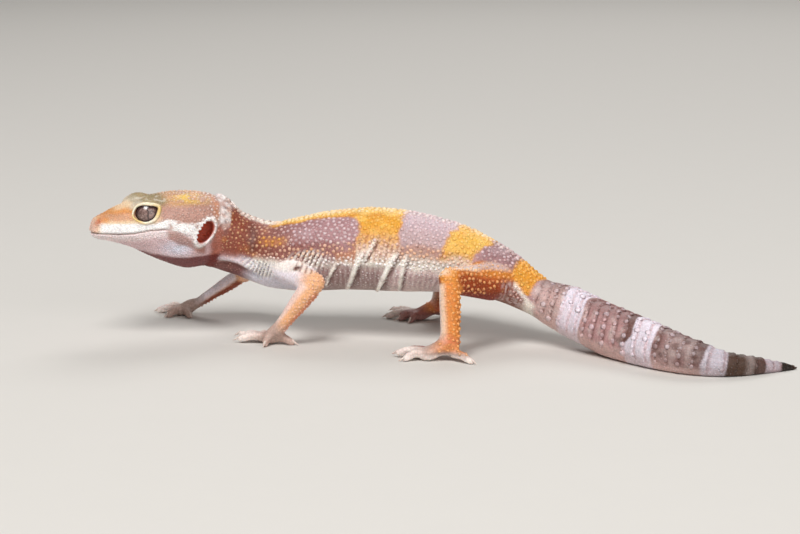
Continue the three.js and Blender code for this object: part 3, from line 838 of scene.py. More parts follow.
def flank_layers(coat, at, hue):
    """Pale flanks with ribs and painted shade in their grooves, an orange border under the saddles, the belly
    with painted shade low on the flank, and a painted cool sheen on the chest.
    """
    along, turn, high, rib = at.along, at.turn, at.high, at.rib
    pale_from = 84 - 22 * window(along, 31, 38.5, 2) - 12 * window(along, 48, 53, 2)
    pale_from += 6 * window(along, 18, 29, 6)
    pale_from = pale_from + 32 * fall(along, 6.5, 11) - 10 * window(along, 39.5, 48, 2)
    fringe = 5 * rib * window(along, 30, 39, 1)
    coat.add(hue.cream, smooth_step(high + fringe, pale_from, pale_from + 18))
    coat.add(hue.cheek, 0.28 * (window(high, 72, 96, 6) * window(along, 26, 56, 3)))
    border = window(along, 27, 31, 1) + 0.4 * window(along, 38.5, 48, 1)
    coat.add(hue.orange, 0.35 * window(high, pale_from - 4, pale_from + 12, 8) * border)
    ribbed = window(along, 31, 38.2, 0.8) * window(turn, 60, 96, 8)
    coat.add(hue.tubercle_peach, 0.35 * ribbed)
    coat.add(hue.thigh_deep, 0.6 * ribbed * smooth_step(-rib, 0.0, 0.8))
    coat.add(hue.yellow, 0.75 * ribbed * smooth_step(rib, -0.4, 0.6) * fall(turn, 66, 88))
    under = smooth_step(high, 98, 112) * window(along, 16, 50, 8)
    coat.add(hue.flank_mauve, under * fall(high, 138, 160) * 0.85)
    coat.add(hue.belly, smooth_step(high, 120, 150) * 0.9)
    lower = window(turn, 92, 140, 10) * window(along, 17, 52, 3)
    coat.add(hue.fold_white, 0.4 * lower * smooth_step(rib, 0.1, 0.9))
    # painted shade in the grooves between the ribs, under pale crests that are partly a painted highlight
    coat.add(hue.dusk, (0.26 - 0.12 * (along > 37)) * lower * smooth_step(-rib, 0.1, 0.9))
    # painted shade low on the flank between the folds behind the elbow
    coat.add(hue.fold_shadow, 0.5 * window(along, 21.5, 36.5, 2) * window(turn, 102, 160, 8))
    # painted cool sheen that lightens the chest
    coat.add(hue.jaw_blue, 0.9 * window(along, 8, 20, 3) * window(turn, 100, 156, 12))


def end_layers(coat, at, hue):
    """Painted shadow under the throat in front, and the wrinkled skin round the vent and the crease before
    the tail.
    """
    along, turn, fold = at.along, at.turn, at.fold
    throat = window(along, -3, 9, 3)
    # painted shadow under the neck, below its pale fold line
    coat.add(hue.thigh_under, throat * smooth_step(turn, 112, 124) * 0.35)
    coat.add(hue.arm_pale, throat * bump_at(turn, 116, 7) * 0.7)
    coat.add(hue.throat_shadow, throat * smooth_step(turn, 121, 131) * 0.85)
    start = 92 - 18 * smooth_step(along, 56, 59)
    vent = window(along, 54.5, fold - 0.4, 1.0) * smooth_step(turn, start, start + 12)
    coat.add(hue.cheek, vent * 0.95)
    wrinkled = window(along, 56.5, fold - 0.2, 1.0) * window(turn, 78, 132, 8)
    wrinkle_layers(coat, wrinkled, stripes((at.skin.along + 0.02 * turn) / 0.72), hue)
    coat.add(hue.tail_pink, smooth_step(along, fold + 0.3, fold + 1.2) * smooth_step(turn, 84, 94) * 0.9)
    coat.add(hue.cream, bump_at(along, fold, 1.0) * window(turn, 74, 150, 10) * 0.85)


def wrinkle_layers(coat, where, lines, hue):
    """Pale crests, and grooves in deep red with painted shade, of finely wrinkled skin behind the thigh."""
    coat.add(hue.lip_pink, where * smooth_step(lines, 0.0, 0.9) * 0.6)
    coat.add(hue.thigh_under, where * smooth_step(-lines, 0.2, 0.9) * 0.6)


def spot_layers(coat, at, hue):
    """Dark spots and painted shade in the bed between the raised scales of the saddles, and olive freckles in
    the yellow.
    """
    along, turn, high, yellow = at.along, at.turn, at.high, at.yellow
    coat.add(hue.dusk, 0.3 * window(along, 53.4, 59.6, 1.0) * (turn < 90) * (1 - yellow))
    dark = spots(at.skin.points, 2.7, 0.42, 61, 0.35) * (1 - yellow) * (high < 70) * window(along, 18, 58, 4)
    coat.add(hue.dusk, dark * 0.35)
    # painted shade in the bed between the raised scales
    coat.darken(0.07 * ((1 - yellow) * fall(high, 78, 96) * window(along, 12, 60, 4)))
    freckle = spots(at.skin.points, 1.5, 0.3, 62, 0.4) * yellow * (high < 62) * (turn > 14)
    coat.add(hue.olive, freckle * (0.25 + 0.35 * smooth_step(along, 44, 48)))


def fold_layers(coat, place, hue):
    """Pale crests with a painted highlight, and painted shadow in the depths, of the folds on the flanks and
    of the bunches of wrinkles.
    """
    turn = place.turn
    for fold in (fold for fold in FLANK_FOLDS if fold["high"] >= PAINTED_FOLD):
        ahead = place.along - np.interp(turn, fold["around"], fold["along"])
        top, _, low = fold["around"]
        inside = smooth_step(turn, top - 4, top + 10) * fall(turn, low - 2, low + 6)
        wide = fold["wide"] * (1.15 - 0.45 * np.clip((turn - top) / (low - top), 0, 1))
        crest = smooth_step(ahead, -1.5 * wide, -0.7 * wide) * fall(ahead, 0.45 * wide, 0.75 * wide)
        coat.add(hue.fold_white, inside * crest * min(1, fold["high"] * 2))
        # painted shadow behind the fold's crest
        depth = smooth_step(ahead, 0.6 * wide, 0.85 * wide) * fall(ahead, 1.1 * wide, 2.6 * wide)
        coat.add(hue.fold_shadow, inside * depth * 0.85)
    for patch in WRINKLES[:2]:
        inside = bump_at(place.along, patch["along"], patch["half"][0] * 1.2)
        inside *= bump_at(turn, patch["around"], patch["half"][1])
        inside = smooth_step(inside, 0.12, 0.6)
        lines = stripes(wrinkle_phase(place, patch))
        # wrinkles: pale crests that are partly a painted highlight, and painted shade in the grooves
        coat.add(hue.fold_white, inside * smooth_step(lines, -0.5, 0.4) * 0.85)
        coat.add(hue.fold_shadow, inside * smooth_step(-lines, 0.5, 0.95) * 0.75)


def trunk_colours(place, hue):
    """Neck, back, flanks and belly: lavender saddles, yellow bands and white flanks."""
    at = TrunkPlace(place)
    coat = Coat(hue.lavender, len(at.turn))
    for layers in (neck_layers, band_layers, flank_layers, end_layers, spot_layers):
        layers(coat, at, hue)
    fold_layers(coat, place, hue)
    # painted shade in the armpit
    armpit_shade = bump_at(np.hypot(place.along - 19.6, (at.turn - 95) / 8), 0, 1.0)
    coat.add(hue.thigh_under, armpit_shade * 0.95)
    # painted shade in rust round the crease of the neck, and painted shadow in the crease itself
    beside = bump_at(place.back, 29.6, 2.2) * window(place.above, -3.4, 1.6, 1.6)
    coat.add(hue.rust, beside * 0.6)
    coat.add(hue.fold_shadow, neck_crease(place) * 0.8)
    return coat.rgb


def nape_markings(place, rgb, hue):
    """The white, mottled collar of the nape and the dark rust patch behind it, over head and neck."""
    back = place.back + 0.3 * cloud(place.points, 1.3, 59)
    above = place.above + 0.25 * cloud(place.points, 1.1, 60)
    coat = Coat(rgb)
    coat.add(hue.rust, bump_at(np.hypot(back - 27.2, (above - 2.1) * 0.9), 0, 2.1) * 0.85)
    coat.add(hue.orange_deep, bump_at(back, 23.0, 0.7) * window(above, 1.6, 6.4, 0.8) * 0.7)
    low = np.interp(place.back, *COLLAR_EDGE)
    start = 22.7 + 0.7 * smooth_step(above, 2.2, 3.4)
    collar = smooth_step(back, start, start + 0.8) * smooth_step(above - low, -0.2, 0.3) * fall(back, 28, 31)
    coat.add(hue.white, collar * 0.72)
    coat.add(hue.temple, collar * 0.8 * lumps(place, 1.0, 57, -0.15, 0.3))
    coat.add(hue.dusk, 0.75 * collar * lumps(place, 0.9, 66, 0.1, 0.5))
    return coat.rgb


def tail_colours(place, hue):
    """The tail: mauve rings, four white bands and a dark tip, with painted shadow in the grooves between the
    rings and painted highlights on its beads.
    """
    ring = ring_place(place) + 0.18 * cloud(place.points, 1.3, 41)
    turn = place.turn + 6 * cloud(place.points, 2.0, 42)
    coat = Coat(hue.tail_pink, len(turn))
    coat.add(hue.tail_mauve, smooth_step(ring, 74, 78))
    coat.add(hue.tail_brown, smooth_step(ring, 92, 106) * 0.5)
    coat.add(hue.tail_brown, smooth_step(ring, 105.5, 106.5))
    coat.add(hue.tail_pale, 0.25 * lumps(place, 2.4, 43, 0.05, 0.7) * fall(ring, 92, 96))
    coat.add(hue.dusk, 0.22 * (lumps(place, 2.1, 44, 0.1, 0.8) * (turn < 95)))
    coat.add(hue.dusk, 0.5 * fall(turn, 15, 60) * window(ring, 64, 104, 2))
    lag = smooth_step(turn, 68, 94)
    coat.add(hue.dusk, 0.95 * window(ring + 1.6 * lag, 86.2, 89.5, 1.8) * fall(turn, 88, 100))
    ends = window(ring, 92, 95.4, 1.2) + window(ring, 101.6, 105, 1.2)
    coat.add(hue.dusk, (0.54 + 0.35 * ends) * window(ring, 93.5, 104, 1.0) * fall(turn, 80, 125))
    columns = bump_at(ring, 97.9, 0.8) + bump_at(ring, 100.9, 0.5)
    coat.add(hue.tail_pale, 0.35 * columns * window(turn, 40, 125, 15))
    share = whorl_phase(ring_place(place)) % 1
    groove = bump_at(share, 0.03, 0.09) + bump_at(share, 0.99, 0.06)
    # painted shadow in the grooves between the rings
    coat.add(hue.fold_shadow, 0.75 * groove * (turn < 112) * window(ring, 64, 104, 3))
    # pale beads on each ring's ridge, partly a painted highlight
    bead = bump_at(share, 0.68, 0.24) * window(turn, 30, 96, 20) * lumps(place, 1.2, 46, -0.1, 0.5)
    coat.add(hue.tail_pale, 0.6 * bead * fall(ring, 96, 104))
    for along, around, reach in TAIL_SPOTS:
        away = np.hypot(place.along - along, np.radians(place.turn - around) * place.radius)
        coat.add(hue.tail_pale, 0.2 * bump_at(away, reach * 1.9, reach * 0.8))
        coat.add(hue.dusk, 0.75 * fall(away, reach * 0.7, reach * 1.25))
    coat.add(hue.tail_pale, window(ring, 109.3, 110.9, 0.8) * 0.45)
    coat.add(hue.dusk, window(ring, 111.2, 113.2, 0.5) * 0.6)
    # paler underside, partly the tail's own colour and partly painted light on the shaded underside
    coat.add(hue.tail_under, smooth_step(turn, 98, 122) * window(ring, 62, 105, 3) * 0.75)
    for low, high, slant in WHITE_BANDS:
        white = window(ring, low - slant * lag, high, 0.35)
        coat.add(hue.tail_white, white * (1 - 0.35 * smooth_step(turn, 100, 124)))
        # painted shade along the grooves across the white bands; the last band is duller
        coat.add(hue.tail_mauve, white * (groove * 0.6 * (turn < 120) + 0.3 * (low > 110)))
    coat.add(hue.tail_tip, window(ring, 116.9, 119.6, 0.4))
    # darker towards the tip: partly the tail's own colour and partly painted shade on the part that lies
    # further back
    coat.darken(0.36 * smooth_step(ring, 92, 108))
    return coat.rgb


def snout_layers(coat, place, back, above, hue):
    """Orange stripes from the nostril to the eye, and the pink tip of the snout."""
    low, high = 2.15 + 0.05 * back, 3.3 + 0.16 * back
    reach = window(back, 1.6, 8.6, 1.2)
    coat.add(hue.orange_deep, window(above, low, high, 0.7) * reach * 0.8)
    coat.add(hue.orange, reach * bump_at(above, high - 0.1, 0.4) * 0.7)
    coat.add(hue.orange, window(back, 1.4, 3.2, 0.8) * bump_at(above, low + 0.1, 0.5) * 0.7)
    coat.add(hue.nose, fall(back, 0.5, 1.7))


def crown_layers(coat, place, back, above, hue):
    """The tan temples and the crown, with a yellow streak over each."""
    coat.add(hue.temple, smooth_step(back, 10.5, 13))
    crown = smooth_step(above, 4.3, 5.4) * window(back, 12.6, 22.3, 1.6)
    coat.add(hue.crown, crown)
    middle = bump_at(back, 17.6, 2.4) * smooth_step(above, 4.7, 5.6) * bump_at(np.abs(place.side), 3.6, 2.4)
    streak = cloud(place.points * [0.6, 1.0, 1.4], 1.0, 56)
    coat.add(hue.orange_deep, middle * 0.5 * smooth_step(-streak, -0.2, 0.3))
    coat.add(hue.lid_corner, middle * 0.9 * smooth_step(streak, -0.35, 0.1))
    coat.add(hue.temple, 0.75 * lumps(place, 1.3, 53, 0.05, 0.5) * crown)
    coat.add(hue.tubercle_peach, 0.5 * lumps(place, 0.9, 58, 0.2, 0.7) * crown)


def brow_layers(coat, place, back, above, hue):
    """Olive skin over the eyes, and paler skin in front of the lids."""
    brow = window(back, 7.8, 13.6, 1.6) * smooth_step(above, 4.7, 5.6)
    coat.add(hue.brow, brow * 0.9)
    coat.add(hue.cream, brow * 0.4 * lumps(place, 0.8, 54, 0.15, 0.6))
    for side in SIDES:
        centre, onward, rise, gaze = eye_axes(side)
        shift = place.points - centre
        gap = lid_distance(shift @ onward, shift @ rise)
        ring = bump_at(gap, 0.95, 0.45) * (shift @ gaze > 0)
        coat.add(hue.brow, ring * smooth_step(shift @ rise, 0.8, 2.0) * 0.4)
        ahead = smooth_step(shift @ onward, 0.2, 1.6) * smooth_step(shift @ rise, 0.4, 1.6)
        coat.add(hue.cream, bump_at(gap, 0.6, 0.6) * ahead * 0.5)


def jaw_layers(coat, place, back, above, hue):
    """White lips and cheeks, the pink lower jaw with a painted cool sheen, and painted red-brown shadow under
    the throat.
    """
    over = lip_gap(place)
    edge = np.interp(back, *LIP_WHITE)
    white = fall(above, edge - 0.25, edge + 0.25) * smooth_step(over, -0.1, 0.1)
    coat.add(hue.white, white * smooth_step(back, 0.8, 2.0))
    mottled = white * window(back, 13.6, 20.2, 1.2) * lumps(place, 0.9, 67, 0.0, 0.4)
    coat.add(hue.temple, mottled * 0.8)
    jaw = fall(over, -0.2, 0.05)
    coat.add(hue.lip_pink, jaw)
    coat.add(hue.chin, jaw * smooth_step(-over, 0.8, 2.2))
    # painted highlight on the bulge of the jaw muscle
    coat.add(hue.jaw_blue, bump_at(back, 15.6, 3.2) * bump_at(above, -2.9, 1.6) * 0.95)
    slope = 0.42 * (back - 14)
    cheek = window(back, 13.2, 20.6, 1.2) * window(above, -1.5 - slope, 0.5 - slope, 0.7)
    coat.add(hue.cheek, cheek * 0.75)
    behind = smooth_step(back, 20.8, 22.4) * fall(above, 0.5, 2.0)
    coat.add(hue.neck_brown, behind * 0.9)
    coat.add(hue.red_edge, behind * 0.4)
    coat.add(hue.cheek, bump_at(back, 19.2, 1.4) * bump_at(above, -3.4, 1.1) * 0.7)
    low = np.interp(back, *THROAT_EDGE)
    # painted red-brown shadow under the throat
    coat.add(hue.throat_shadow, smooth_step(-above, low, low + 0.5) * smooth_step(back, 3, 7) * 0.9)
    mouth = bump_at(over, 0, 0.12) * fall(back, MOUTH_CORNER - 1.5, MOUTH_CORNER + 0.8)
    coat.add(hue.mouth_line, mouth * 0.9)


def opening_layers(coat, place, back, above, hue):
    """The nostril in its orange patch, and the white rim and red inside of the ear."""
    reach = nostril_reach(place)
    coat.add(hue.orange_deep, bump_at(reach, 0.0, 1.0) * 0.8)
    coat.add(hue.red_edge, bump_at(reach, 0.0, 0.7) * 0.7)
    coat.add(hue.ear_hole, bump_at(reach, 0, 0.36) * 0.9)
    coat.add(hue.white, bump_at(place.ear, 1.36, 0.22) * 0.95)
    coat.add(hue.cheek, bump_at(place.ear, 1.62, 0.16) * smooth_step(back, 20.4, 21.4) * 0.5)
    coat.add(hue.ear_hole, fall(place.ear, 1.02, 1.14))
    coat.add(hue.mouth_line, 0.35 * bump_at(place.ear, 0.75, 0.2) * (back > 20.4))


def head_colours(place, hue):
    """Head: orange snout stripes, yellow crown, tan temples and white lips, jaw and nape."""
    back = place.back + 0.25 * cloud(place.points, 1.2, 51)
    above = place.above + 0.2 * cloud(place.points, 1.4, 52)
    coat = Coat(hue.snout_tan, len(back))
    for layers in (crown_layers, snout_layers, brow_layers, jaw_layers, opening_layers):
        layers(coat, place, back, above, hue)
    return coat.rgb


class LimbSkin:
    """One limb segment as its markings see it: share of its length, and directions away from its axis."""

    def __init__(self, place, name):
        self.points = place.points
        self.share, away = LIMBS.of(name, place.points)
        self.front = away @ LIMBS.front[name]
        self.outer = away @ LIMBS.out[name]
        self.height = away[:, 2]


def upper_arm_layers(coat, at, hue):
    """Pale lilac with a painted cool sheen underneath, peach towards the elbow, and on top at the shoulder
    wrinkles with painted highlights and shade and a painted shadow in the armpit.
    """
    share, height = at.share, at.height
    # painted cool sheen lighting the underside near the shoulder
    coat.add(hue.jaw_blue, 0.5 * smooth_step(-height, -0.1, 0.7) * smooth_step(-share, -0.3, 0.5))
    coat.add(hue.arm_peach, smooth_step(share, -0.1, 0.75))
    coat.add(hue.cream, smooth_step(height, 0.3, 0.9) * fall(share, -0.3, 0.4) * 0.7)
    top = smooth_step(height, 0.72, 0.86) * window(share, -0.25, 0.6, 0.2)
    waves = stripes((at.points[:, 0] - 0.45 * at.points[:, 2]) / 1.05)
    coat.add(hue.orange, top * 0.25)
    # wrinkles on top: pale crests that are partly a painted highlight, and painted shade in the grooves
    coat.add(hue.fold_white, top * smooth_step(waves, -0.5, 0.4) * 0.6)
    coat.add(hue.fold_shadow, top * smooth_step(-waves, 0.4, 0.9) * 0.65)
    # painted shadow in the armpit
    pit_shade = bump_at(share, -0.04, 0.1) * smooth_step(height, 0.74, 0.86) * bump_at(at.front, 0.28, 0.3)
    coat.add(hue.fold_shadow, np.clip(pit_shade * 1.6, 0, 1) * 0.95)


def forearm_layers(coat, at, hue):
    """Peach, red behind, deep red on the inner side that is partly painted shade, and pale towards the hand.
    """
    front = at.front
    coat.add(hue.red_edge, smooth_step(-front, 0.15, 0.85) * 0.75)
    inner = smooth_step(-at.outer, 0.0, 0.5)
    # deep red on the inner side, partly painted shade
    coat.add(hue.thigh_under, inner * fall(front, -0.1, 0.25) * 0.85)
    coat.add(hue.arm_pale, inner * smooth_step(front, -0.05, 0.35) * 0.85)
    coat.add(hue.arm_pale, smooth_step(front, 0.45, 0.95) * 0.5)
    coat.add(hue.paw, smooth_step(at.share, 0.45, 1.0) * 0.85)


def hand_layers(coat, at, hue):
    """Paler towards the toes."""
    coat.add(hue.toe, smooth_step(at.share, -0.1, 0.6))


def thigh_layers(coat, at, hue):
    """Deep orange below with deep red, partly painted shade, on its underside, bright towards the knee with a
    painted highlight on the knee, pale on its crest and wrinkled at the hip.
    """
    share, height = at.share, at.height
    coat.add(hue.thigh_bright, smooth_step(height, 0.2, 0.85) * 0.6)
    coat.add(hue.thigh_deep, bump_at(share, 0.35, 0.4) * 0.4)
    coat.add(hue.thigh_bright, smooth_step(share, 0.55, 0.75) * 0.8)
    coat.add(hue.thigh_deep, smooth_step(-height, -0.5, 0.25) * fall(share, 0.3, 0.8) * 0.85)
    # deep red underside, partly painted shade
    coat.add(hue.thigh_under, smooth_step(-height, 0.55, 0.95) * 0.85)
    # painted highlight on the knee
    coat.add(hue.cream, smooth_step(share, 0.72, 0.95) * smooth_step(height, 0.1, 0.7) * 0.6)
    crest = smooth_step(height, 0.84, 0.95) * window(share, -0.9, 0.55, 0.25)
    coat.add(hue.lavender_grey, crest * 0.85)
    coat.add(hue.cream, bump_at(height, 0.87, 0.1) * window(share, 0.0, 0.75, 0.25) * 0.6)
    hip = smooth_step(-share, 0.5, 0.8) * fall(height, 0.1, 0.6)
    coat.add(hue.cheek, hip * 0.8)
    wrinkle_layers(coat, hip, stripes((at.points[:, 0] - 0.15 * at.points[:, 2]) / 0.75), hue)


def shank_layers(coat, at, hue):
    """Orange, pale in front with a painted cool sheen on its front edge, deep red on the inner side that is
    partly painted shade, and red at the ankle.
    """
    front = at.front
    patchy = lumps(at, 1.5, 71, -0.2, 0.6)
    coat.add(hue.thigh_bright, smooth_step(-front, -0.1, 0.6) * patchy * 0.7)
    coat.add(hue.shank_pale, smooth_step(front, 0.05, 0.7))
    # painted cool sheen on the front edge
    coat.add(hue.jaw_blue, smooth_step(front, 0.75, 1.0) * 0.35)
    # deep red on the inner side, partly painted shade
    coat.add(hue.thigh_under, smooth_step(-at.outer, 0.3, 0.9) * 0.6)
    coat.add(hue.red_edge, smooth_step(at.share, 0.45, 0.95) * 0.75)


def foot_layers(coat, at, hue):
    """Pale toes and sole, deep red on the inner side that is partly painted shade, and the orange of the
    shank over the heel.
    """
    share, tall = at.share, at.points[:, 2]
    coat.add(hue.toe, np.maximum(smooth_step(share, -0.1, 0.5), fall(tall, 0.9, 1.6)))
    # deep red on the inner side, partly painted shade
    coat.add(hue.thigh_under, smooth_step(-at.outer, 0.1, 0.7) * fall(share, 0.4, 1.1) * 0.75)
    coat.add(hue.shank, smooth_step(-share, -0.1, 0.45) * smooth_step(tall, 1.3, 2.3) * 0.85)


# The ground colour of each limb segment, and the layers over it.
LIMB_COATS = {
    "upper_arm": ("arm_pale", upper_arm_layers),
    "forearm": ("arm_peach", forearm_layers),
    "hand": ("paw", hand_layers),
    "thigh": ("thigh", thigh_layers),
    "shank": ("shank", shank_layers),
    "foot": ("paw", foot_layers),
}


def limb_colours(place, name, hue):
    """One limb segment: pale in front and below, orange outside and behind, pinkish white paws."""
    ground, layers = LIMB_COATS[name.rsplit("_", 1)[0]]
    coat = Coat(getattr(hue, ground), len(place.points))
    layers(coat, LimbSkin(place, name), hue)
    return coat.rgb


class Hues:
    """The markings' colours as linear arrays, by name."""

    def __init__(self, settings):
        for name in settings.__annotations__:
            setattr(self, name, np.array(getattr(settings, name)))


def skin_colours(place, hue):
    """The colour of each vertex of the skin, blended where the regions meet."""
    neck_head = smooth_step(place.back, 23.2, 25.2)
    tail = smooth_step(place.along - 2.4 * smooth_step(place.turn, 74, 96), 64.2, 65.2)
    body = trunk_colours(place, hue)
    body += (tail_colours(place, hue) - body) * tail[:, None]
    head_share = np.clip(place.head * (1 - neck_head) + (1 - neck_head) * (place.back < 22.5), 0, 1)
    head_share *= place.limb < 0.5
    head = head_colours(place, hue)
    parts = {name: place.shares[name] ** 3 for name in LIMB_NODES}
    torso = np.clip(1 - place.limb, 0, 1) ** 3
    whole = torso + sum(parts.values()) + 1e-9
    rgb = (body * (1 - head_share)[:, None] + head * head_share[:, None]) * (torso / whole)[:, None]
    rgb += sum((parts[name] / whole)[:, None] * limb_colours(place, name, hue) for name in LIMB_NODES)
    rgb = nape_markings(place, rgb, hue)
    grain = 1 + 0.05 * cloud(place.points, 0.7, 81) + 0.05 * cloud(place.points, 2.5, 82)
    return np.clip(rgb * grain[:, None], 0, 1)


# ---------------------------------------------------------------- scales

PATCH = 0.003  # width of one scale's patch on the bake map
WHORL_ROW = 0.8  # where on a whorl of the tail its row of big scales stands
WHORL_LOWEST = 116  # degrees around where those rows end
DOME_VARIES = (0.85, 1.15)  # smallest and largest share of its width that a dome gets


def scatter(mesh, gap, seed, crowding):
    """Roots over the skin, none nearer to another than the gap at its place; a gap of 0 means no roots.

    Returns the three corners of each root's triangle and their weights.
    """
    draw = np.random.default_rng(seed)
    corners, areas = triangles_of(mesh)
    local = gap[corners].min(1)
    wanted = np.where(local > 0.1, areas / np.maximum(local, 0.1) ** 2, 0) * crowding
    chosen, weights = random_places(draw, wanted, int(wanted.sum()))
    spots = (points_of(mesh)[corners[chosen]] * weights[:, :, None]).sum(1)
    reaches = (gap[corners[chosen]] * weights).sum(1)
    cell = reaches.max()
    keys = np.floor(spots / cell).astype(int).tolist()
    around = [(x, y, z) for x in (-1, 0, 1) for y in (-1, 0, 1) for z in (-1, 0, 1)]
    grid, kept = {}, []
    for index, ((kx, ky, kz), (x, y, z), reach) in enumerate(zip(keys, spots.tolist(), reaches.tolist())):
        limit = reach * reach
        if any(
            (x - px) ** 2 + (y - py) ** 2 + (z - pz) ** 2 < limit
            for dx, dy, dz in around
            for px, py, pz in grid.get((kx + dx, ky + dy, kz + dz), ())
        ):
            continue
        grid.setdefault((kx, ky, kz), []).append((x, y, z))
        kept.append(index)
    return corners[chosen[kept]], weights[kept]


def bake_places(place):
    """Where each vertex lies on an unwrap of the body: trunk and tail below, head and four limbs above."""
    u = 0.02 + 0.96 * (place.along + 3) / (SPINE.length + 6)
    v = 0.03 + 0.4 * (place.around + 180) / 360
    on_head = place.head > 0.5
    turn = np.degrees(np.arctan2(place.side, place.above - 0.5))
    u = np.where(on_head, 0.02 + 0.31 * place.back / 27, u)
    v = np.where(on_head, 0.48 + 0.26 * (turn + 180) / 360, v)
    for row, (side, segments) in enumerate((s, p) for s in SIDES for p in (ARM_SEGMENTS, LEG_SEGMENTS)):
        for column, segment in enumerate(segments):
            name = f"{segment}_{side}"
            share, away = LIMBS.of(name, place.points)
            inside = place.shares[name] > 0.4
            turn = np.degrees(np.arctan2(away @ LIMBS.out[name], away @ LIMBS.front[name]))
            u = np.where(inside, 0.37 + 0.21 * column + 0.17 * (share + 1.1) / 2.2, u)
            v = np.where(inside, 0.47 + 0.13 * row + 0.11 * (turn + 180) / 360, v)
    return np.clip(np.column_stack([u, v, np.zeros(len(u))]), PATCH, 1 - PATCH)


def flow_lines(place):
    """The way scales point at each vertex: backwards on the body, outwards along the limbs."""
    nearest = np.clip(np.searchsorted(SPINE.marks, place.along), 0, len(SPINE.marks) - 1)
    flow = SPINE.along[nearest] * (1 - place.head - place.limb)[:, None]
    flow -= HEAD.forward[None] * place.head[:, None]
    for name in LIMB_NODES:
        flow = flow + LIMBS.axis[name][None] * place.shares[name][:, None]
    return unit(flow)


def scale_tips(place, skin_rgb, hue):
    """The colour of the top of a scale that grows from each vertex."""
    along, turn, torso = place.along, place.turn, place.torso
    brightness = skin_rgb.mean(1)
    yellowish = smooth_step((skin_rgb[:, 0] - skin_rgb[:, 2]) / (brightness + 0.05), 0.9, 1.6)
    neck = fall(along, 12, 19) * torso
    on_tail = smooth_step(along, 63, 66)
    lilac = (0.75 - 0.75 * yellowish) * (1 - 0.6 * neck) * (1 - 0.8 * on_tail)
    coat = Coat(skin_rgb)
    coat.add(hue.tubercle_lilac, lilac * torso)
    coat.add(hue.lemon, yellowish * 0.35 * torso)
    # painted highlight on the scales in the middle of the first saddle
    bright = bump_at(along, 26, 3.5) * bump_at(turn, 62, 16) * torso
    coat.add(hue.white, bright * 0.35)
    coat.add(hue.tubercle_peach, neck * 0.38 * smooth_step(turn, 12, 30))
    neck_row = window(along, 10.5, 17.5, 2.5) * window(turn, 52, 70, 6) * torso
    coat.add(hue.yellow, neck_row * 0.8)
    border = window(turn, 72, 92, 8) * window(along, 16, 50, 5) * torso
    border *= 1 - 0.6 * window(along, 31, 38.5, 1)
    coat.add(hue.tubercle_peach, border * 0.8)
    coat.add(hue.yellow, border * 0.35 * lumps(place, 1.6, 91, 0.1, 0.6))
    coat.add(hue.white, smooth_step(turn, 84, 94) * window(along, 14, 54, 4) * torso * 0.85)
    ridge = fall(turn, 8, 22) * window(along, 1, 58, 6) * torso
    coat.add(hue.cream, ridge * 0.45)
    whorl_row = bump_at(whorl_phase(ring_place(place)) % 1, WHORL_ROW, 0.2)
    coat.add(hue.tail_white, on_tail * torso * whorl_row * 0.45)
    on_tip = smooth_step(along, 106, 108) * torso
    coat.rgb = coat.rgb + (skin_rgb - coat.rgb) * (0.8 * on_tip)[:, None]
    legs = place.of_parts("thigh", "shank", "foot")
    arms = place.of_parts("forearm", "upper_arm")
    coat.add(hue.tubercle_yellow, legs * 0.7)
    coat.add(hue.nose, arms * 0.75)
    nape = window(place.back, 21.5, 25, 1) * smooth_step(place.above, 0, 2)
    crown = smooth_step(place.above, 5.0, 6.2) * smooth_step(place.back, 12, 15)
    pale = place.head * (0.1 * (place.above > -2) + 0.26 * crown)
    coat.add(hue.white, np.clip(pale + nape * 0.3, 0, 1))
    return coat.rgb


def dome_sockets(tree):
    """The inputs and the output of the tree of domes."""
    face = tree.interface
    face.new_socket("Roots", in_out="INPUT", socket_type="NodeSocketGeometry")
    for name, kind, value in (
        ("Sides", "NodeSocketInt", 8),
        ("Steps", "NodeSocketInt", 2),
        ("Height", "NodeSocketFloat", 0.8),
        ("Sink", "NodeSocketFloat", 0.2),
        ("Roundness", "NodeSocketFloat", 2.2),
        ("Seed", "NodeSocketInt", 5),
    ):
        face.new_socket(name, in_out="INPUT", socket_type=kind).default_value = value
    face.new_socket("Material", in_out="INPUT", socket_type="NodeSocketMaterial")
    face.new_socket("Domes", in_out="OUTPUT", socket_type="NodeSocketGeometry")


def named(tree, name, kind="FLOAT_VECTOR"):
    """A value that each root carries under this name."""
    return add_node(tree, "GeometryNodeInputNamedAttribute", {"Name": name}, data_type=kind).outputs[0]


def one_dome(tree, given):
    """A disc raised to a dome, which keeps each point's place on the disc as its patch."""
    cone = add_node(
        tree,
        "GeometryNodeMeshCone",
        {"Vertices": given["Sides"], "Side Segments": given["Steps"]},
        fill_type="NGON",
    )
    for name, value in (("Radius Top", 0), ("Radius Bottom", 1), ("Depth", 1)):
        cone.inputs[name].default_value = value
    spot = add_node(tree, "GeometryNodeInputPosition").outputs[0]
    x, y, radius = disc_places(tree, spot)
    fall_off = math_of(tree, "SUBTRACT", 1.0, math_of(tree, "POWER", radius, given["Roundness"]))
    level = math_of(tree, "SUBTRACT", math_of(tree, "MULTIPLY", fall_off, given["Height"]), given["Sink"])
    shape = add_node(tree, "ShaderNodeCombineXYZ", {0: x, 1: y, 2: level}).outputs[0]
    dome = add_node(tree, "GeometryNodeSetPosition", {"Geometry": cone.outputs["Mesh"], "Position": shape})
    marked = add_node(
        tree,
        "GeometryNodeStoreNamedAttribute",
        {"Geometry": dome.outputs[0], "Name": "patch", "Value": spot},
        data_type="FLOAT_VECTOR",
        domain="POINT",
    )
    return marked.outputs[0]


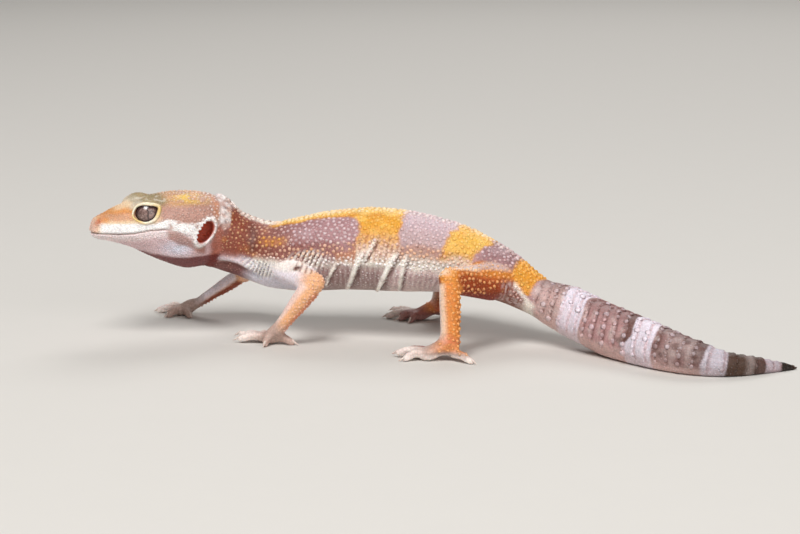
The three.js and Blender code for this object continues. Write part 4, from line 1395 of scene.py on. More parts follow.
def dome_tree():
    """The node tree that grows one small dome on each root: sizes are inputs, the pose is the root's."""
    old = bpy.data.node_groups.get("domes on roots")
    if old:
        bpy.data.node_groups.remove(old)
    tree = bpy.data.node_groups.new("domes on roots", "GeometryNodeTree")
    dome_sockets(tree)
    given = add_node(tree, "NodeGroupInput").outputs
    dome = one_dome(tree, given)
    upright = add_node(tree, "FunctionNodeAlignRotationToVector", {"Vector": named(tree, "lie")}, axis="Z")
    turned = add_node(
        tree,
        "FunctionNodeAlignRotationToVector",
        {"Rotation": upright.outputs[0], "Vector": named(tree, "flow")},
        axis="X",
        pivot_axis="Z",
    )
    vary = add_node(tree, "FunctionNodeRandomValue", {"Seed": given["Seed"]}, data_type="FLOAT")
    vary.inputs[2].default_value, vary.inputs[3].default_value = DOME_VARIES
    placed = add_node(
        tree,
        "GeometryNodeInstanceOnPoints",
        {
            "Points": given["Roots"],
            "Instance": dome,
            "Rotation": turned.outputs[0],
            "Scale": math_of(tree, "MULTIPLY", named(tree, "width", "FLOAT"), vary.outputs[1]),
        },
    )
    real = add_node(tree, "GeometryNodeRealizeInstances", {0: placed.outputs[0]})
    soft = add_node(tree, "GeometryNodeSetShadeSmooth", {0: real.outputs[0]})
    dressed = add_node(
        tree, "GeometryNodeSetMaterial", {"Geometry": soft.outputs[0], "Material": given["Material"]}
    )
    add_node(tree, "NodeGroupOutput", {0: dressed.outputs[0]})
    return tree


def grow_scales(name, roots, sizes, material):
    """Grows domes on roots and keeps them as one plain mesh with its bake map."""
    cloud_mesh = bpy.data.meshes.new(name)
    cloud_mesh.from_pydata([tuple(p) for p in roots["points"] * MM], [], [])
    for key in ("lie", "flow", "root_map"):
        put_attribute(cloud_mesh, key, "FLOAT_VECTOR", "vector", roots[key])
    put_attribute(cloud_mesh, "width", "FLOAT", "value", roots["width"] * MM / 2)
    put_colour(cloud_mesh, "root_colour", roots["root_colour"])
    put_colour(cloud_mesh, "tip_colour", roots["tip_colour"])
    piece = new_object(name, cloud_mesh)
    tree = dome_tree()
    grower = piece.modifiers.new("domes", "NODES")
    grower.node_group = tree
    for socket in tree.interface.items_tree:
        if socket.in_out == "INPUT" and socket.name in sizes:
            grower[socket.identifier] = sizes[socket.name]
        elif socket.name == "Material":
            grower[socket.identifier] = material
    mesh = applied(piece)
    piece.data = mesh
    at = get_attribute(mesh, "root_map")[:, :2] + get_attribute(mesh, "patch")[:, :2] * PATCH / 2
    layer = mesh.uv_layers.new(name="OFBake")
    loops = numbers(mesh.loops, "vertex_index", 1, np.int32)
    layer.uv.foreach_set("vector", at[loops].ravel().astype(np.float32))
    bpy.data.meshes.remove(cloud_mesh)
    bpy.data.node_groups.remove(tree)
    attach(piece, BODY)
    return piece


def roots_from(place, values, corners, weights, width):
    """The record of roots: places, directions, colours and widths read off the skin's triangles."""

    def blended(data):
        picked = data[corners]
        return (picked * (weights[:, :, None] if picked.ndim == 3 else weights)).sum(1)

    return {
        "points": blended(place.points),
        "lie": unit(blended(place.normals)),
        "flow": blended(values["flow"]),
        "root_map": values["root_map"][corners[:, 0]],
        "root_colour": blended(values["skin"]),
        "tip_colour": blended(values["tips"]),
        "width": blended(width),
    }


def toned(roots, strength):
    """Moves the tips of scales towards their own colour: 0 gives the colour of the skin, 1 leaves the tip."""
    roots["tip_colour"] += (roots["root_colour"] - roots["tip_colour"]) * (1 - strength)[:, None]


def whorl_roots(mesh, place, settings):
    """Roots in rows along the rear edges of the tail's whorls, found by looking out from the spine."""
    points = place.points
    tree = surface_tree(mesh)
    draw = np.random.default_rng(9)
    marks = np.arange(TAIL_START, SPINE.length, 0.05)
    phases = whorl_phase(marks)
    faces, spots = [], []
    for number in range(int(phases[-1])):
        ring = float(np.interp(number + WHORL_ROW, phases, marks))
        index = min(int(np.searchsorted(SPINE.marks, ring)), len(SPINE.marks) - 1)
        side_hit = tree.ray_cast(Vector(SPINE.path[index]), Vector(SPINE.left[index]))
        count = max(5, int(2 * math.pi * side_hit[3] * MM / settings.ring_spacing))
        for k in range(count):
            turn = (k + 0.5 * (number % 2) + draw.uniform(-0.1, 0.1)) * 2 * math.pi / count - math.pi
            if abs(math.degrees(turn)) > WHORL_LOWEST:
                continue
            bowed = ring + float(ring_bow(ring, abs(math.degrees(turn))))
            index = min(int(np.searchsorted(SPINE.marks, bowed)), len(SPINE.marks) - 1)
            outward = SPINE.over[index] * math.cos(turn) + SPINE.left[index] * math.sin(turn)
            hit = tree.ray_cast(Vector(SPINE.path[index]), Vector(outward))
            if hit[0] is not None:
                faces.append(hit[2])
                spots.append(tuple(hit[0]))
    corners = np.array([tuple(mesh.polygons[face].vertices)[:3] for face in faces])
    reach = np.linalg.norm(points[corners] - np.array(spots)[:, None], axis=2)
    weights = 1 / np.maximum(reach, 1e-4)
    return corners, weights / weights.sum(1, keepdims=True)


def back_scales(place, settings):
    """Gap and width of the raised scales on back and flanks."""
    turn, along = place.turn, place.along
    torso = np.clip(place.torso, 0, 1)
    trunk = torso * fall(along, 63.5, 65) * smooth_step(place.back, 21.5, 23)
    above_belly = turn < 92 + 14 * smooth_step(along, 15, 19) - 4 * window(along, 24, 50, 6)
    flank = smooth_step(turn, 72, 92)
    ridge = fall(turn, 9, 20)
    nape = fall(along, 3, 12) * (1 - ridge)
    gap = settings.back_gap / MM * (1 - 0.2 * flank - 0.06 * nape)
    width = settings.back_width / MM * (1 + 0.45 * ridge - 0.2 * flank - 0.38 * nape)
    return np.where((trunk > 0.5) & above_belly, gap, 0), width


def limb_scales(place, settings):
    """Gap and width of the raised scales on arms and legs, which leave fronts and inner sides bare."""
    heel, rear, bare = np.zeros((3, len(place.turn)))
    for side in SIDES:
        share, _ = LIMBS.of(f"foot_{side}", place.points)
        heel += place.shares[f"foot_{side}"] * (share < -0.25) * (place.points[:, 2] > 1.5)
        for part in ("thigh", "shank", "forearm", "upper_arm"):
            name = f"{part}_{side}"
            share, away = LIMBS.of(name, place.points)
            back = -(away @ LIMBS.front[name])
            rear += place.shares[name] * smooth_step(back, 0.1, 0.7)
            if part == "thigh":
                smooth = (away[:, 2] < -0.72) | (share < -0.6 - 0.5 * away[:, 2])
            elif part == "upper_arm":
                smooth = share < 0.35
            else:
                smooth = (back < -0.45) | (away @ LIMBS.out[name] < -0.3)
            bare += place.shares[name] * smooth
    on_leg = (place.of_parts("thigh", "shank") + heel > 0.55) & (bare < 0.4)
    on_arm = (place.of_parts("upper_arm", "forearm") > 0.55) & (bare < 0.4)
    gap, width = settings.leg_gap / MM, settings.leg_width / MM
    gap = np.where(on_leg, gap, 0) + np.where(on_arm, gap * 0.8, 0)
    return gap, width * np.where(on_arm, 0.78, 1) * (0.85 + 0.25 * rear)


def scaly_head(place):
    """Where the scales and grains of the head grow."""
    return (place.head > 0.5) & (place.back < 23.5)


def head_scales(place):
    """Gap and width of the scales on the head, which keep clear of the lids, ears and lips."""
    clear = place.ear > 1.2
    for side in SIDES:
        centre, onward, rise, gaze = eye_axes(side)
        shift = place.points - centre
        clear &= (lid_distance(shift @ onward, shift @ rise) > 0.75) | (shift @ gaze < 0)
    clear &= (np.abs(lip_gap(place)) > 0.3) | (place.back > MOUTH_CORNER + 0.4)
    crown = smooth_step(place.back, 11, 19) * smooth_step(place.above, -1, 2)
    collar = smooth_step(place.back, 20.5, 22) * smooth_step(place.above, -1, 1)
    pebbles = np.maximum(crown, collar)
    return np.where(scaly_head(place) & clear, 0.4 + 0.26 * pebbles, 0), 0.37 + 0.3 * pebbles


def grain_scales(place, settings):
    """Gap and width of the fine grains between the raised scales, a little wider apart on the tail."""
    gap = settings.fine_gap / MM
    fine = ~scaly_head(place) & (place.paw < 0.5) & (place.points[:, 2] > 0.25)
    tail = fine & (place.along > 65) & (place.torso > 0.5)
    gaps = np.where(tail, gap * 1.15, np.where(fine & (place.turn < 150), gap, 0))
    return gaps, np.full(len(gaps), gap * 0.92)


def scale_layers(place, settings):
    """Each layer of scales: the gap and the width at every vertex, the slot, and the shape of its domes."""
    gap, width = grain_scales(place, settings)
    front_half = place.points[:, 0] < np.median(place.points[gap > 0, 0])
    back = {"Height": 0.72, "Sink": 0.18, "Roundness": 2.1}
    limb = {"Height": 0.85, "Sink": 0.2, "Roundness": 1.9}
    head = {"Sides": 7, "Height": 0.6, "Sink": 0.16}
    grain = {"Sides": 6, "Steps": 1, "Height": 0.3, "Sink": 0.12, "Roundness": 1.6}
    return (
        ("scales_back", *back_scales(place, settings), "skin_trunk", back),
        ("scales_limbs", *limb_scales(place, settings), "skin_leg", limb),
        ("scales_head", *head_scales(place), "skin_head", head),
        ("grain_front", np.where(front_half, gap, 0), width, "skin_trunk", grain),
        ("grain_rear", np.where(front_half, 0, gap), width, "skin_tail", grain),
    )


# ---------------------------------------------------------------- eyes, lids and claws


def eyeball_mesh(side):
    """A smooth eyeball that knows where each point is seen from: onward, rise and gaze, over the radius."""
    centre, onward, rise, gaze = eye_axes(side)
    rings, sectors = 72, 112
    points, marks = [gaze], [(0.0, 0.0, 1.0)]
    for ring in range(1, rings):
        polar = math.pi * (ring / rings) ** 1.25
        for sector in range(sectors):
            turn = 2 * math.pi * sector / sectors
            local = (math.sin(polar) * math.cos(turn), math.sin(polar) * math.sin(turn), math.cos(polar))
            points.append(onward * local[0] + rise * local[1] + gaze * local[2])
            marks.append(local)
    points.append(-gaze)
    marks.append((0.0, 0.0, -1.0))
    faces = [(0, 1 + k, 1 + (k + 1) % sectors) for k in range(sectors)]
    for ring in range(rings - 2):
        first = 1 + ring * sectors
        for k in range(sectors):
            after = (k + 1) % sectors
            faces.append((first + k, first + sectors + k, first + sectors + after, first + after))
    last = len(points) - 1
    first = last - sectors
    faces += [(last, first + (k + 1) % sectors, first + k) for k in range(sectors)]
    mesh = mesh_from(f"eyeball_{side}", centre + np.array(points) * EYE_RADIUS, faces)
    marks = np.array(marks)
    put_attribute(mesh, "seen", "FLOAT_VECTOR", "vector", marks)
    gap = lid_distance(marks[:, 0] * EYE_RADIUS, marks[:, 1] * EYE_RADIUS)
    # painted shade of the lids on the eyeball: the dark band along the lids widens under the upper lid and at
    # the front
    gap += 0.22 * smooth_step(marks[:, 1], 0.0, 0.4) + 0.16 * smooth_step(marks[:, 0], 0.3, 0.6)
    put_attribute(mesh, "lid_gap", "FLOAT", "value", np.where(marks[:, 2] > 0, gap, 1.0))
    return mesh


CLAW_ROOT = 0.6  # how far a claw reaches back into its toe
CLAW_ARCH = 0.3  # how far it arches up
CLAW_RADIUS = 0.27
CLAW_RINGS, CLAW_SECTORS = 9, 12

# The lid's cross section: out from the edge of the opening, and up from the eyeball or the skin.
LID_SECTION = (
    (-0.06, -0.35),
    (-0.05, 0.02),
    (-0.03, 0.14),
    (0.04, 0.26),
    (0.15, 0.34),
    (0.29, 0.36),
    (0.43, 0.3),
    (0.55, 0.18),
    (0.64, 0.0),
    (0.66, -0.25),
    (0.3, -0.6),
)


def lid_levels(tree, centre, onward, rise, gaze, across, up):
    """How far out along the gaze the skin lies under each point of a grid, and how far the eyeball does."""
    ball = np.sqrt(np.maximum(EYE_RADIUS**2 - across**2 - up**2, 0.01))
    skin = ball.copy()
    for index in np.ndindex(across.shape):
        start = centre + onward * across[index] + rise * up[index] + gaze * (EYE_RADIUS + 3)
        hit = tree.ray_cast(Vector(start), Vector(-gaze))
        if hit[0] is not None:
            skin[index] = EYE_RADIUS + 3 - hit[3]
    return skin, ball


def lid_mesh(side, tree, hue):
    """The rim of the lids round one eyeball, thicker above than below, dark along its inner edge, partly the
    lid's own colour and partly painted shade.
    """
    centre, onward, rise, gaze = eye_axes(side)
    around, steps = 192, len(LID_SECTION)
    turn = np.linspace(0, 2 * math.pi, around, endpoint=False)[:, None]
    out, lift = (np.array(part)[None] for part in zip(*LID_SECTION))
    reach = lid_reach(np.cos(turn), np.sin(turn))
    reach = sum(np.roll(reach, shift, axis=0) for shift in range(-4, 5)) / 9
    upper = np.maximum(np.sin(turn), 0) ** 0.7
    behind = np.maximum(-np.cos(turn), 0) ** 3
    thick = 0.85 + 0.25 * upper + 0.4 * behind - 0.2 * np.maximum(np.cos(turn), 0) ** 2
    beaded = 1 + 0.05 * np.sin(turn * 52) * smooth_step(out, 0.2, 0.5)
    away = reach + out * thick * beaded
    across, up = np.cos(turn) * away, np.sin(turn) * away
    skin, ball = lid_levels(tree, centre, onward, rise, gaze, across, up)
    rolled = np.concatenate([skin[-6:], skin, skin[:6]])
    skin = sum(rolled[k : k + around] for k in range(13)) / 13
    level = np.maximum(skin, ball) + lift * (1 + 0.2 * upper)
    points = centre + across[..., None] * onward + up[..., None] * rise + level[..., None] * gaze
    inner = np.where(lift > -0.2, fall(out * np.ones_like(turn), -0.02, 0.09), out < 0.2)
    coat = Coat(hue.lid_lower, around * steps)
    coat.add(hue.lid_upper, np.repeat(upper, steps) * 0.35)
    yellow = np.repeat(np.maximum(bump_at(turn, 2.95, 0.7), bump_at(turn, 5.75, 0.75)), steps)
    coat.add(hue.lid_corner, yellow * 0.75)
    coat.add(hue.lid_line, inner.ravel())
    outer = smooth_step(out * np.ones_like(turn), 0.5, 0.64).ravel()
    coat.add(hue.lid_outer, outer * (0.5 + 0.5 * np.repeat(upper + behind, steps)))
    ring = np.arange(around)[:, None] * steps
    after = (np.arange(around)[:, None] + 1) % around * steps
    here, there = np.arange(steps)[None], (np.arange(steps)[None] + 1) % steps
    faces = np.stack([ring + here, ring + there, after + there, after + here], -1).reshape(-1, 4)
    if side == "left":
        faces = faces[:, ::-1]
    mesh = mesh_from(f"lids_{side}", points.reshape(-1, 3), faces.tolist())
    put_colour(mesh, "skin_colour", coat.rgb)
    return mesh


def claw_course(name, skin):
    """Where a claw starts inside its toe, where it bends and where it ends, and its toe's direction."""
    _, paw, side, _ = name.split("_")
    low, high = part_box(f"{paw}_{side}")
    own = points_of(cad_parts[name].data)
    tip = own[np.argmax(np.linalg.norm(own - np.array((low + high) / 2 / MM), axis=1))]
    reach = np.linalg.norm(own - tip, axis=1)
    base = own[reach > 0.8 * reach.max()].mean(0)
    ahead = unit(tip - base)
    onward = (skin - base) @ ahead
    beside = np.linalg.norm(skin - base - onward[:, None] * ahead, axis=1)
    toe = (beside < 0.7) & (np.abs(onward) < 1.6)
    short = onward[toe].max()
    toe_end = skin[toe & (onward > short - 0.3)].mean(0)
    start = toe_end - ahead * CLAW_ROOT
    tip = tip + ahead * min(0, short) * 0.6
    bend = toe_end + ahead * 0.5 * np.linalg.norm(tip - toe_end) + np.array([0, 0, CLAW_ARCH])
    return start, bend, tip, ahead


def claw_rings(start, bend, tip, ahead):
    """The points of one claw, ring after ring along its curve, then its tip and its root."""
    points = []
    sideways = unit(np.cross(ahead, (0, 0, 1)))
    for ring in range(CLAW_RINGS):
        share = ring / CLAW_RINGS
        middle = start * (1 - share) ** 2 + 2 * bend * share * (1 - share) + tip * share**2
        course = unit((bend - start) * (1 - share) + (tip - bend) * share)
        over = unit(np.cross(sideways, course))
        size = CLAW_RADIUS * (1 - share**1.6)
        for sector in range(CLAW_SECTORS):
            turn = 2 * math.pi * sector / CLAW_SECTORS
            points.append(middle + (sideways * math.cos(turn) * 0.8 + over * math.sin(turn)) * size)
    return points + [tip, start]


def claw_mesh():
    """All claws in one mesh: curved horns that start inside the toes and end near the CAD claws' ends."""
    points, faces = [], []
    skin = points_of(bpy.data.objects["skin"].data)
    around = [(k, (k + 1) % CLAW_SECTORS) for k in range(CLAW_SECTORS)]
    for name in CLAW_NODES:
        first = len(points)
        points += claw_rings(*claw_course(name, skin))
        last, end = len(points) - 2 - CLAW_SECTORS, len(points) - 2
        for row in range(first, last, CLAW_SECTORS):
            above = row + CLAW_SECTORS
            faces += [(row + k, row + after, above + after, above + k) for k, after in around]
        faces += [(last + k, last + after, end) for k, after in around]
        faces += [(first + after, first + k, end + 1) for k, after in around]
    points = np.array(points)
    points[:, 2] = np.maximum(points[:, 2], 0.02)
    return mesh_from("claws", points, faces)


# ---------------------------------------------------------------- materials


def new_material(name, roughness, ior=1.5):
    """A material with one Principled shader, and that shader's tree and inputs."""
    old = bpy.data.materials.get(name)
    if old:
        bpy.data.materials.remove(old)
    material = bpy.data.materials.new(name)
    material.use_nodes = True
    tree = material.node_tree
    tree.nodes.clear()
    shader = add_node(tree, "ShaderNodeBsdfPrincipled", {"Roughness": roughness, "IOR": ior})
    add_node(tree, "ShaderNodeOutputMaterial", {0: shader.outputs[0]})
    return material, tree, shader.inputs


def let_light_in(inputs, weight, radius, depth):
    """Lets light travel under a surface: how much of it, how far each colour goes, and over what length."""
    inputs["Subsurface Weight"].default_value = weight
    inputs["Subsurface Radius"].default_value = radius
    inputs["Subsurface Scale"].default_value = depth


def opaque(colour):
    """A linear colour with full cover."""
    return (*colour, 1)


def object_place(tree):
    """The place of a point on its object, in metres."""
    return add_node(tree, "ShaderNodeTexCoord").outputs["Object"]


def stored(tree, name, output="Color"):
    """An attribute of the mesh."""
    return add_node(tree, "ShaderNodeAttribute", attribute_name=name).outputs[output]


def noise(tree, place, scale, detail, distortion=0.0):
    """Soft noise; the scale counts lumps in a metre."""
    inputs = {"Vector": place, "Scale": scale, "Detail": detail, "Distortion": distortion}
    return add_node(tree, "ShaderNodeTexNoise", inputs).outputs[0]


def ramp(tree, value, start, end, low=0.0, high=1.0):
    """A value that goes from low at start to high at end, and stays there beyond them."""
    inputs = {"Value": value, 1: start, 2: end, 3: low, 4: high}
    return add_node(tree, "ShaderNodeMapRange", inputs).outputs[0]


def mixed(tree, factor, first, second):
    """The first colour where the factor is 0 and the second where it is 1."""
    inputs = {"Factor": factor, 6: first, 7: second}
    return add_node(tree, "ShaderNodeMix", inputs, data_type="RGBA").outputs[2]


def toned_by(tree, colour, factor):
    """A colour made lighter or darker by a factor."""
    inputs = {0: colour, "Scale": factor}
    return add_node(tree, "ShaderNodeVectorMath", inputs, operation="SCALE").outputs[0]


def bump(tree, height, strength, distance, **settings):
    """The normal of a surface with fine relief."""
    inputs = {"Height": height, "Strength": strength, "Distance": distance}
    return add_node(tree, "ShaderNodeBump", inputs, **settings).outputs[0]


def living_skin(settings):
    """Thin dry reptile skin. The eye sees a soft matt surface of tiny granules with faint dark joints."""
    material, tree, inputs = new_material("living reptile skin", 0.52)
    place = object_place(tree)
    # Granules are 0.2 to 0.3 mm on the animal, and are drawn at 0.42 mm so that they show.
    granules = {"Vector": place, "Scale": 1 / settings.granule, "Randomness": 0.8}
    reach = add_node(tree, "ShaderNodeTexVoronoi", granules).outputs["Distance"]
    joint = ramp(tree, reach, 0.25, 0.75, 1.06, 0.84)
    drift = ramp(tree, noise(tree, place, 900.0, 3.0), 0.3, 0.7, 0.93, 1.07)
    tone = math_of(tree, "MULTIPLY", joint, drift)
    tree.links.new(toned_by(tree, stored(tree, "skin_colour"), tone), inputs["Base Color"])
    tree.links.new(bump(tree, reach, 0.6, 0.00007, invert=True), inputs["Normal"])
    let_light_in(inputs, 0.12, (1.0, 0.35, 0.25), 0.0007)
    inputs["Specular IOR Level"].default_value = 0.4
    return material


def scale_keratin():
    """Smooth keratin of a raised scale. The eye sees a paler, slightly glossy bead in a darker bed."""
    material, tree, inputs = new_material("raised scale keratin", 0.4)
    _, _, reach = disc_places(tree, stored(tree, "patch", "Vector"))
    rim = ramp(tree, reach, 0.68, 0.98)
    colour = mixed(tree, rim, stored(tree, "tip_colour"), stored(tree, "root_colour"))
    drift = ramp(tree, noise(tree, object_place(tree), 2500.0, 2.0), 0.3, 0.7, 0.92, 1.08)
    tree.links.new(toned_by(tree, colour, drift), inputs["Base Color"])
    let_light_in(inputs, 0.1, (1.0, 0.4, 0.3), 0.0005)
    return material


def wet_eye(hue):
    """A wet cornea over a marbled iris. The eye sees mauve-grey clouds, a closed slit pupil and a gloss, with
    painted shade along the edge of the lids.
    """
    material, tree, inputs = new_material("wet eye", 0.25, 1.38)
    seen = stored(tree, "seen", "Vector")
    onward, rise, reach = disc_places(tree, seen)
    cloudy = ramp(tree, noise(tree, seen, 4.2, 6.0, 1.4), 0.38, 0.62)
    colour = mixed(tree, cloudy, opaque(hue.iris_dark), opaque(hue.iris_pale))
    colour = mixed(tree, ramp(tree, reach, 0.54, 0.68), colour, opaque(hue.iris_rim))
    sway = math_of(tree, "SINE", math_of(tree, "MULTIPLY", rise, 16.0))
    wavy = math_of(tree, "ADD", onward, math_of(tree, "MULTIPLY", sway, 0.012))
    across = math_of(tree, "ABSOLUTE", math_of(tree, "ADD", wavy, 0.03))
    slit = ramp(tree, across, 0.018, 0.05, 1.0, 0.0)
    ends = ramp(tree, math_of(tree, "ABSOLUTE", rise), 0.38, 0.5, 1.0, 0.0)
    colour = mixed(tree, math_of(tree, "MULTIPLY", slit, ends), colour, opaque(hue.pupil))
    # painted shade where the lids overhang the eyeball
    shade = ramp(tree, stored(tree, "lid_gap", "Fac"), -0.5, -0.12)
    tree.links.new(mixed(tree, shade, colour, opaque(hue.lid_line)), inputs["Base Color"])
    inputs["Coat Weight"].default_value = 1.0
    inputs["Coat Roughness"].default_value = 0.12
    return material


def lid_skin():
    """Moist bare skin of the lids. The eye sees a smooth pale rim with a soft shine."""
    material, tree, inputs = new_material("bare lid skin", 0.36)
    speck = noise(tree, object_place(tree), 2200.0, 2.0)
    drift = ramp(tree, speck, 0.3, 0.7, 0.9, 1.06)
    tree.links.new(toned_by(tree, stored(tree, "skin_colour"), drift), inputs["Base Color"])
    tree.links.new(bump(tree, speck, 0.3, 0.00004), inputs["Normal"])
    let_light_in(inputs, 0.15, (1.0, 0.5, 0.3), 0.0005)
    return material


def claw_horn(hue):
    """Thin clear horn. The eye sees a pale, faintly pink claw with a gloss and fine streaks."""
    material, tree, inputs = new_material("claw horn", 0.3, 1.54)
    streaks = noise(tree, object_place(tree), 1800.0, 3.0)
    colour = mixed(tree, streaks, opaque(hue.claw), opaque(hue.claw_dark))
    tree.links.new(colour, inputs["Base Color"])
    let_light_in(inputs, 0.2, (1.0, 0.6, 0.5), 0.0005)
    return material


def plain_floor(settings):
    """Matt painted board. The eye sees an even pale ground with a barely visible tooth."""
    material, tree, inputs = new_material("matt painted board", 0.75)
    colour = np.array(settings.floor_colour)
    tooth = noise(tree, object_place(tree), 120.0, 4.0)
    tree.links.new(mixed(tree, tooth, opaque(colour * 0.985), opaque(colour)), inputs["Base Color"])
    return material


# ---------------------------------------------------------------- settings


def size_setting(name, description, default):
    """A length in metres."""
    return FloatProperty(
        name=name, description=description, default=default, min=0, unit="LENGTH", precision=5
    )


def power_setting(name, default):
    """The power of a light in watts."""
    description = f"Power of the {name.lower()} light in watts"
    return FloatProperty(name=name, description=description, default=default, unit="POWER")


def hue_setting(name, description, colour):
    """A colour, given as the eye sees it and kept linear."""
    return FloatVectorProperty(
        name=name, description=description, default=linear(colour), min=0, max=1, size=3, subtype="COLOR"
    )


class GeckoSkinSettings(bpy.types.PropertyGroup):
    """Sizes of the skin."""

    swell: size_setting("Swell", "How far each solid grows before all are joined", 0.0002)
    grid: size_setting("Grid", "Cell of the grid that joins the solids", 0.0002)
    coarse_edge: size_setting("Coarse edge", "Length of an edge on the trunk", 0.00046)
    scale_depth: size_setting("Scale depth", "How far the skin lies inside the solids", 0.00016)
    granule: size_setting("Granule", "Width of a granule between the raised scales", 0.00042)
    softening: IntProperty(name="Softening", description="Rounds that soften the joins", default=40, min=0)
    skin_faces: IntProperty(name="Skin faces", description="Triangles of the skin", default=185000, min=1000)


class GeckoScaleSettings(bpy.types.PropertyGroup):
    """Sizes of the scales."""

    back_gap: size_setting("Back gap", "Least distance between scales on the back", 0.0008)
    back_width: size_setting("Back width", "Width of a scale on the back", 0.00083)
    leg_gap: size_setting("Leg gap", "Least distance between scales on the legs", 0.0008)
    leg_width: size_setting("Leg width", "Width of a scale on the legs", 0.00074)
    fine_gap: size_setting("Fine gap", "Least distance between the fine grains", 0.00046)
    ring_spacing: size_setting("Ring spacing", "Distance between scales in a row of the tail", 0.0014)
    ring_width: size_setting("Ring width", "Width of a scale in a row of the tail", 0.0012)
    seed: IntProperty(name="Seed", description="Start of the random draws", default=7)


class GeckoHueSettings(bpy.types.PropertyGroup):
    """Colours of the markings, eyes, lids and claws."""

    lavender: hue_setting("Lavender", "Saddles on the back", "#b08486")
    lavender_grey: hue_setting("Grey lavender", "Saddle between the yellow bands", "#c2aaa8")
    lavender_pale: hue_setting("Pale lavender", "Clouds in the saddles", "#d3b9bf")
    # dark spots and mottles, and painted shade in the grooves between the flank's ribs
    dusk: hue_setting("Dusk", "Dark spots and grooves", "#70504a")
    yellow: hue_setting("Yellow", "Bands across the back", "#df9b2c")
    lemon: hue_setting("Lemon", "Top of the yellow bands and their scales", "#f2cb6c")
    orange: hue_setting("Orange", "Edges of the bands", "#d98a2b")
    orange_deep: hue_setting("Deep orange", "Stripe from nostril to eye", "#c58560")
    olive: hue_setting("Olive", "Freckles in the yellow", "#8f6f30")
    neck_brown: hue_setting("Neck brown", "Sides of the neck", "#8c5548")
    rust: hue_setting("Rust", "Dark patches of the neck", "#86402c")
    cream: hue_setting("Cream", "Lower flanks and nape", "#f7ede0")
    # pale crests of folds, ribs and wrinkles, partly a painted highlight
    fold_white: hue_setting("Fold white", "Crests of the folds", "#fbf4ea")
    # painted shadow in folds, creases, wrinkles, the tail's grooves and the armpit
    fold_shadow: hue_setting("Fold shadow", "Depths of the folds", "#5e352c")
    flank_mauve: hue_setting("Flank mauve", "Bare skin low on the flanks", "#c6a1a4")
    belly: hue_setting("Belly", "Underside", "#d9c3be")
    # painted red-brown shadow under the throat and the neck
    throat_shadow: hue_setting("Throat", "Red-brown skin under the throat", "#660e06")
    tail_pink: hue_setting("Tail pink", "Base and underside of the tail", "#c2a09b")
    tail_mauve: hue_setting("Tail mauve", "Middle of the tail", "#b78c8b")
    tail_brown: hue_setting("Tail brown", "End of the tail", "#5a3d2d")
    tail_pale: hue_setting("Pale tail", "Beads and clouds of the tail", "#d3bfba")
    tail_white: hue_setting("Tail white", "White bands of the tail", "#e2d6e0")
    # pale underside of the tail, partly painted light on the shaded underside
    tail_under: hue_setting("Tail under", "Underside of the tail", "#dcb9b2")
    tail_tip: hue_setting("Tail tip", "Dark end of the tail", "#2e1c10")
    snout_tan: hue_setting("Snout tan", "Top of the snout", "#ebcba6")
    nose: hue_setting("Nose", "Tip of the snout", "#e8bda9")
    brow: hue_setting("Brow", "Skin over the eyes", "#8c784c")
    temple: hue_setting("Temple", "Sides of the head behind the eyes", "#b78c7e")
    crown: hue_setting("Crown", "Top of the head", "#c4956c")
    white: hue_setting("White", "Lips, cheeks and rim of the ear", "#f3eeec")
    lip_pink: hue_setting("Lip pink", "Lower lip", "#ecd9d8")
    chin: hue_setting("Chin", "Underside of the chin", "#dcbcbe")
    # painted bluish-white sheen: a highlight on the jaw, and painted light on the chest, the underside of the
    # upper arm and the front of the shank
    jaw_blue: hue_setting("Blue jaw", "Cool sheen on jaw and arm", "#e2dfec")
    cheek: hue_setting("Cheek", "Flesh behind the corner of the mouth", "#96604e")
    mouth_line: hue_setting("Mouth line", "Joint of the lips", "#7c5a58")
    ear_hole: hue_setting("Ear", "Inside of the ear opening", "#c04b2c")
    arm_pale: hue_setting("Pale arm", "Front of the upper arm", "#fbf0f8")
    arm_peach: hue_setting("Peach arm", "Elbow and forearm", "#efb383")
    red_edge: hue_setting("Red edge", "Rear of the forearm", "#cf6f4e")
    paw: hue_setting("Paw", "Back of hands and feet", "#bb9f93")
    toe: hue_setting("Toe", "Toes", "#eddcd4")
    thigh: hue_setting("Thigh", "Outside of the thigh", "#bb5a26")
    thigh_bright: hue_setting("Bright thigh", "Top of the thigh and the knee", "#e6983a")
    thigh_deep: hue_setting("Deep thigh", "Lower thigh", "#8a340c")
    # deep red of the thigh's underside, partly painted shade; also painted shade on the limbs' inner sides,
    # in the armpit, under the neck and in wrinkle grooves
    thigh_under: hue_setting("Under thigh", "Underside of the thigh", "#84200e")
    shank: hue_setting("Shank", "Outside of the shank", "#d98238")
    shank_pale: hue_setting("Pale shank", "Front of the shank", "#f0cdb2")
    tubercle_lilac: hue_setting("Lilac scale", "Scales in the saddles", "#dfc6ca")
    tubercle_yellow: hue_setting("Yellow scale", "Scales on orange skin", "#efb273")
    tubercle_peach: hue_setting("Peach scale", "Scales on neck and arms", "#edb88e")
    iris_pale: hue_setting("Pale iris", "Clouds of the iris", "#9c8078")
    iris_dark: hue_setting("Dark iris", "Ground of the iris", "#563d37")
    iris_rim: hue_setting("Rim of the iris", "Outer ring of the iris", "#33201e")
    pupil: hue_setting("Pupil", "Closed slit pupil", "#2a1b1b")
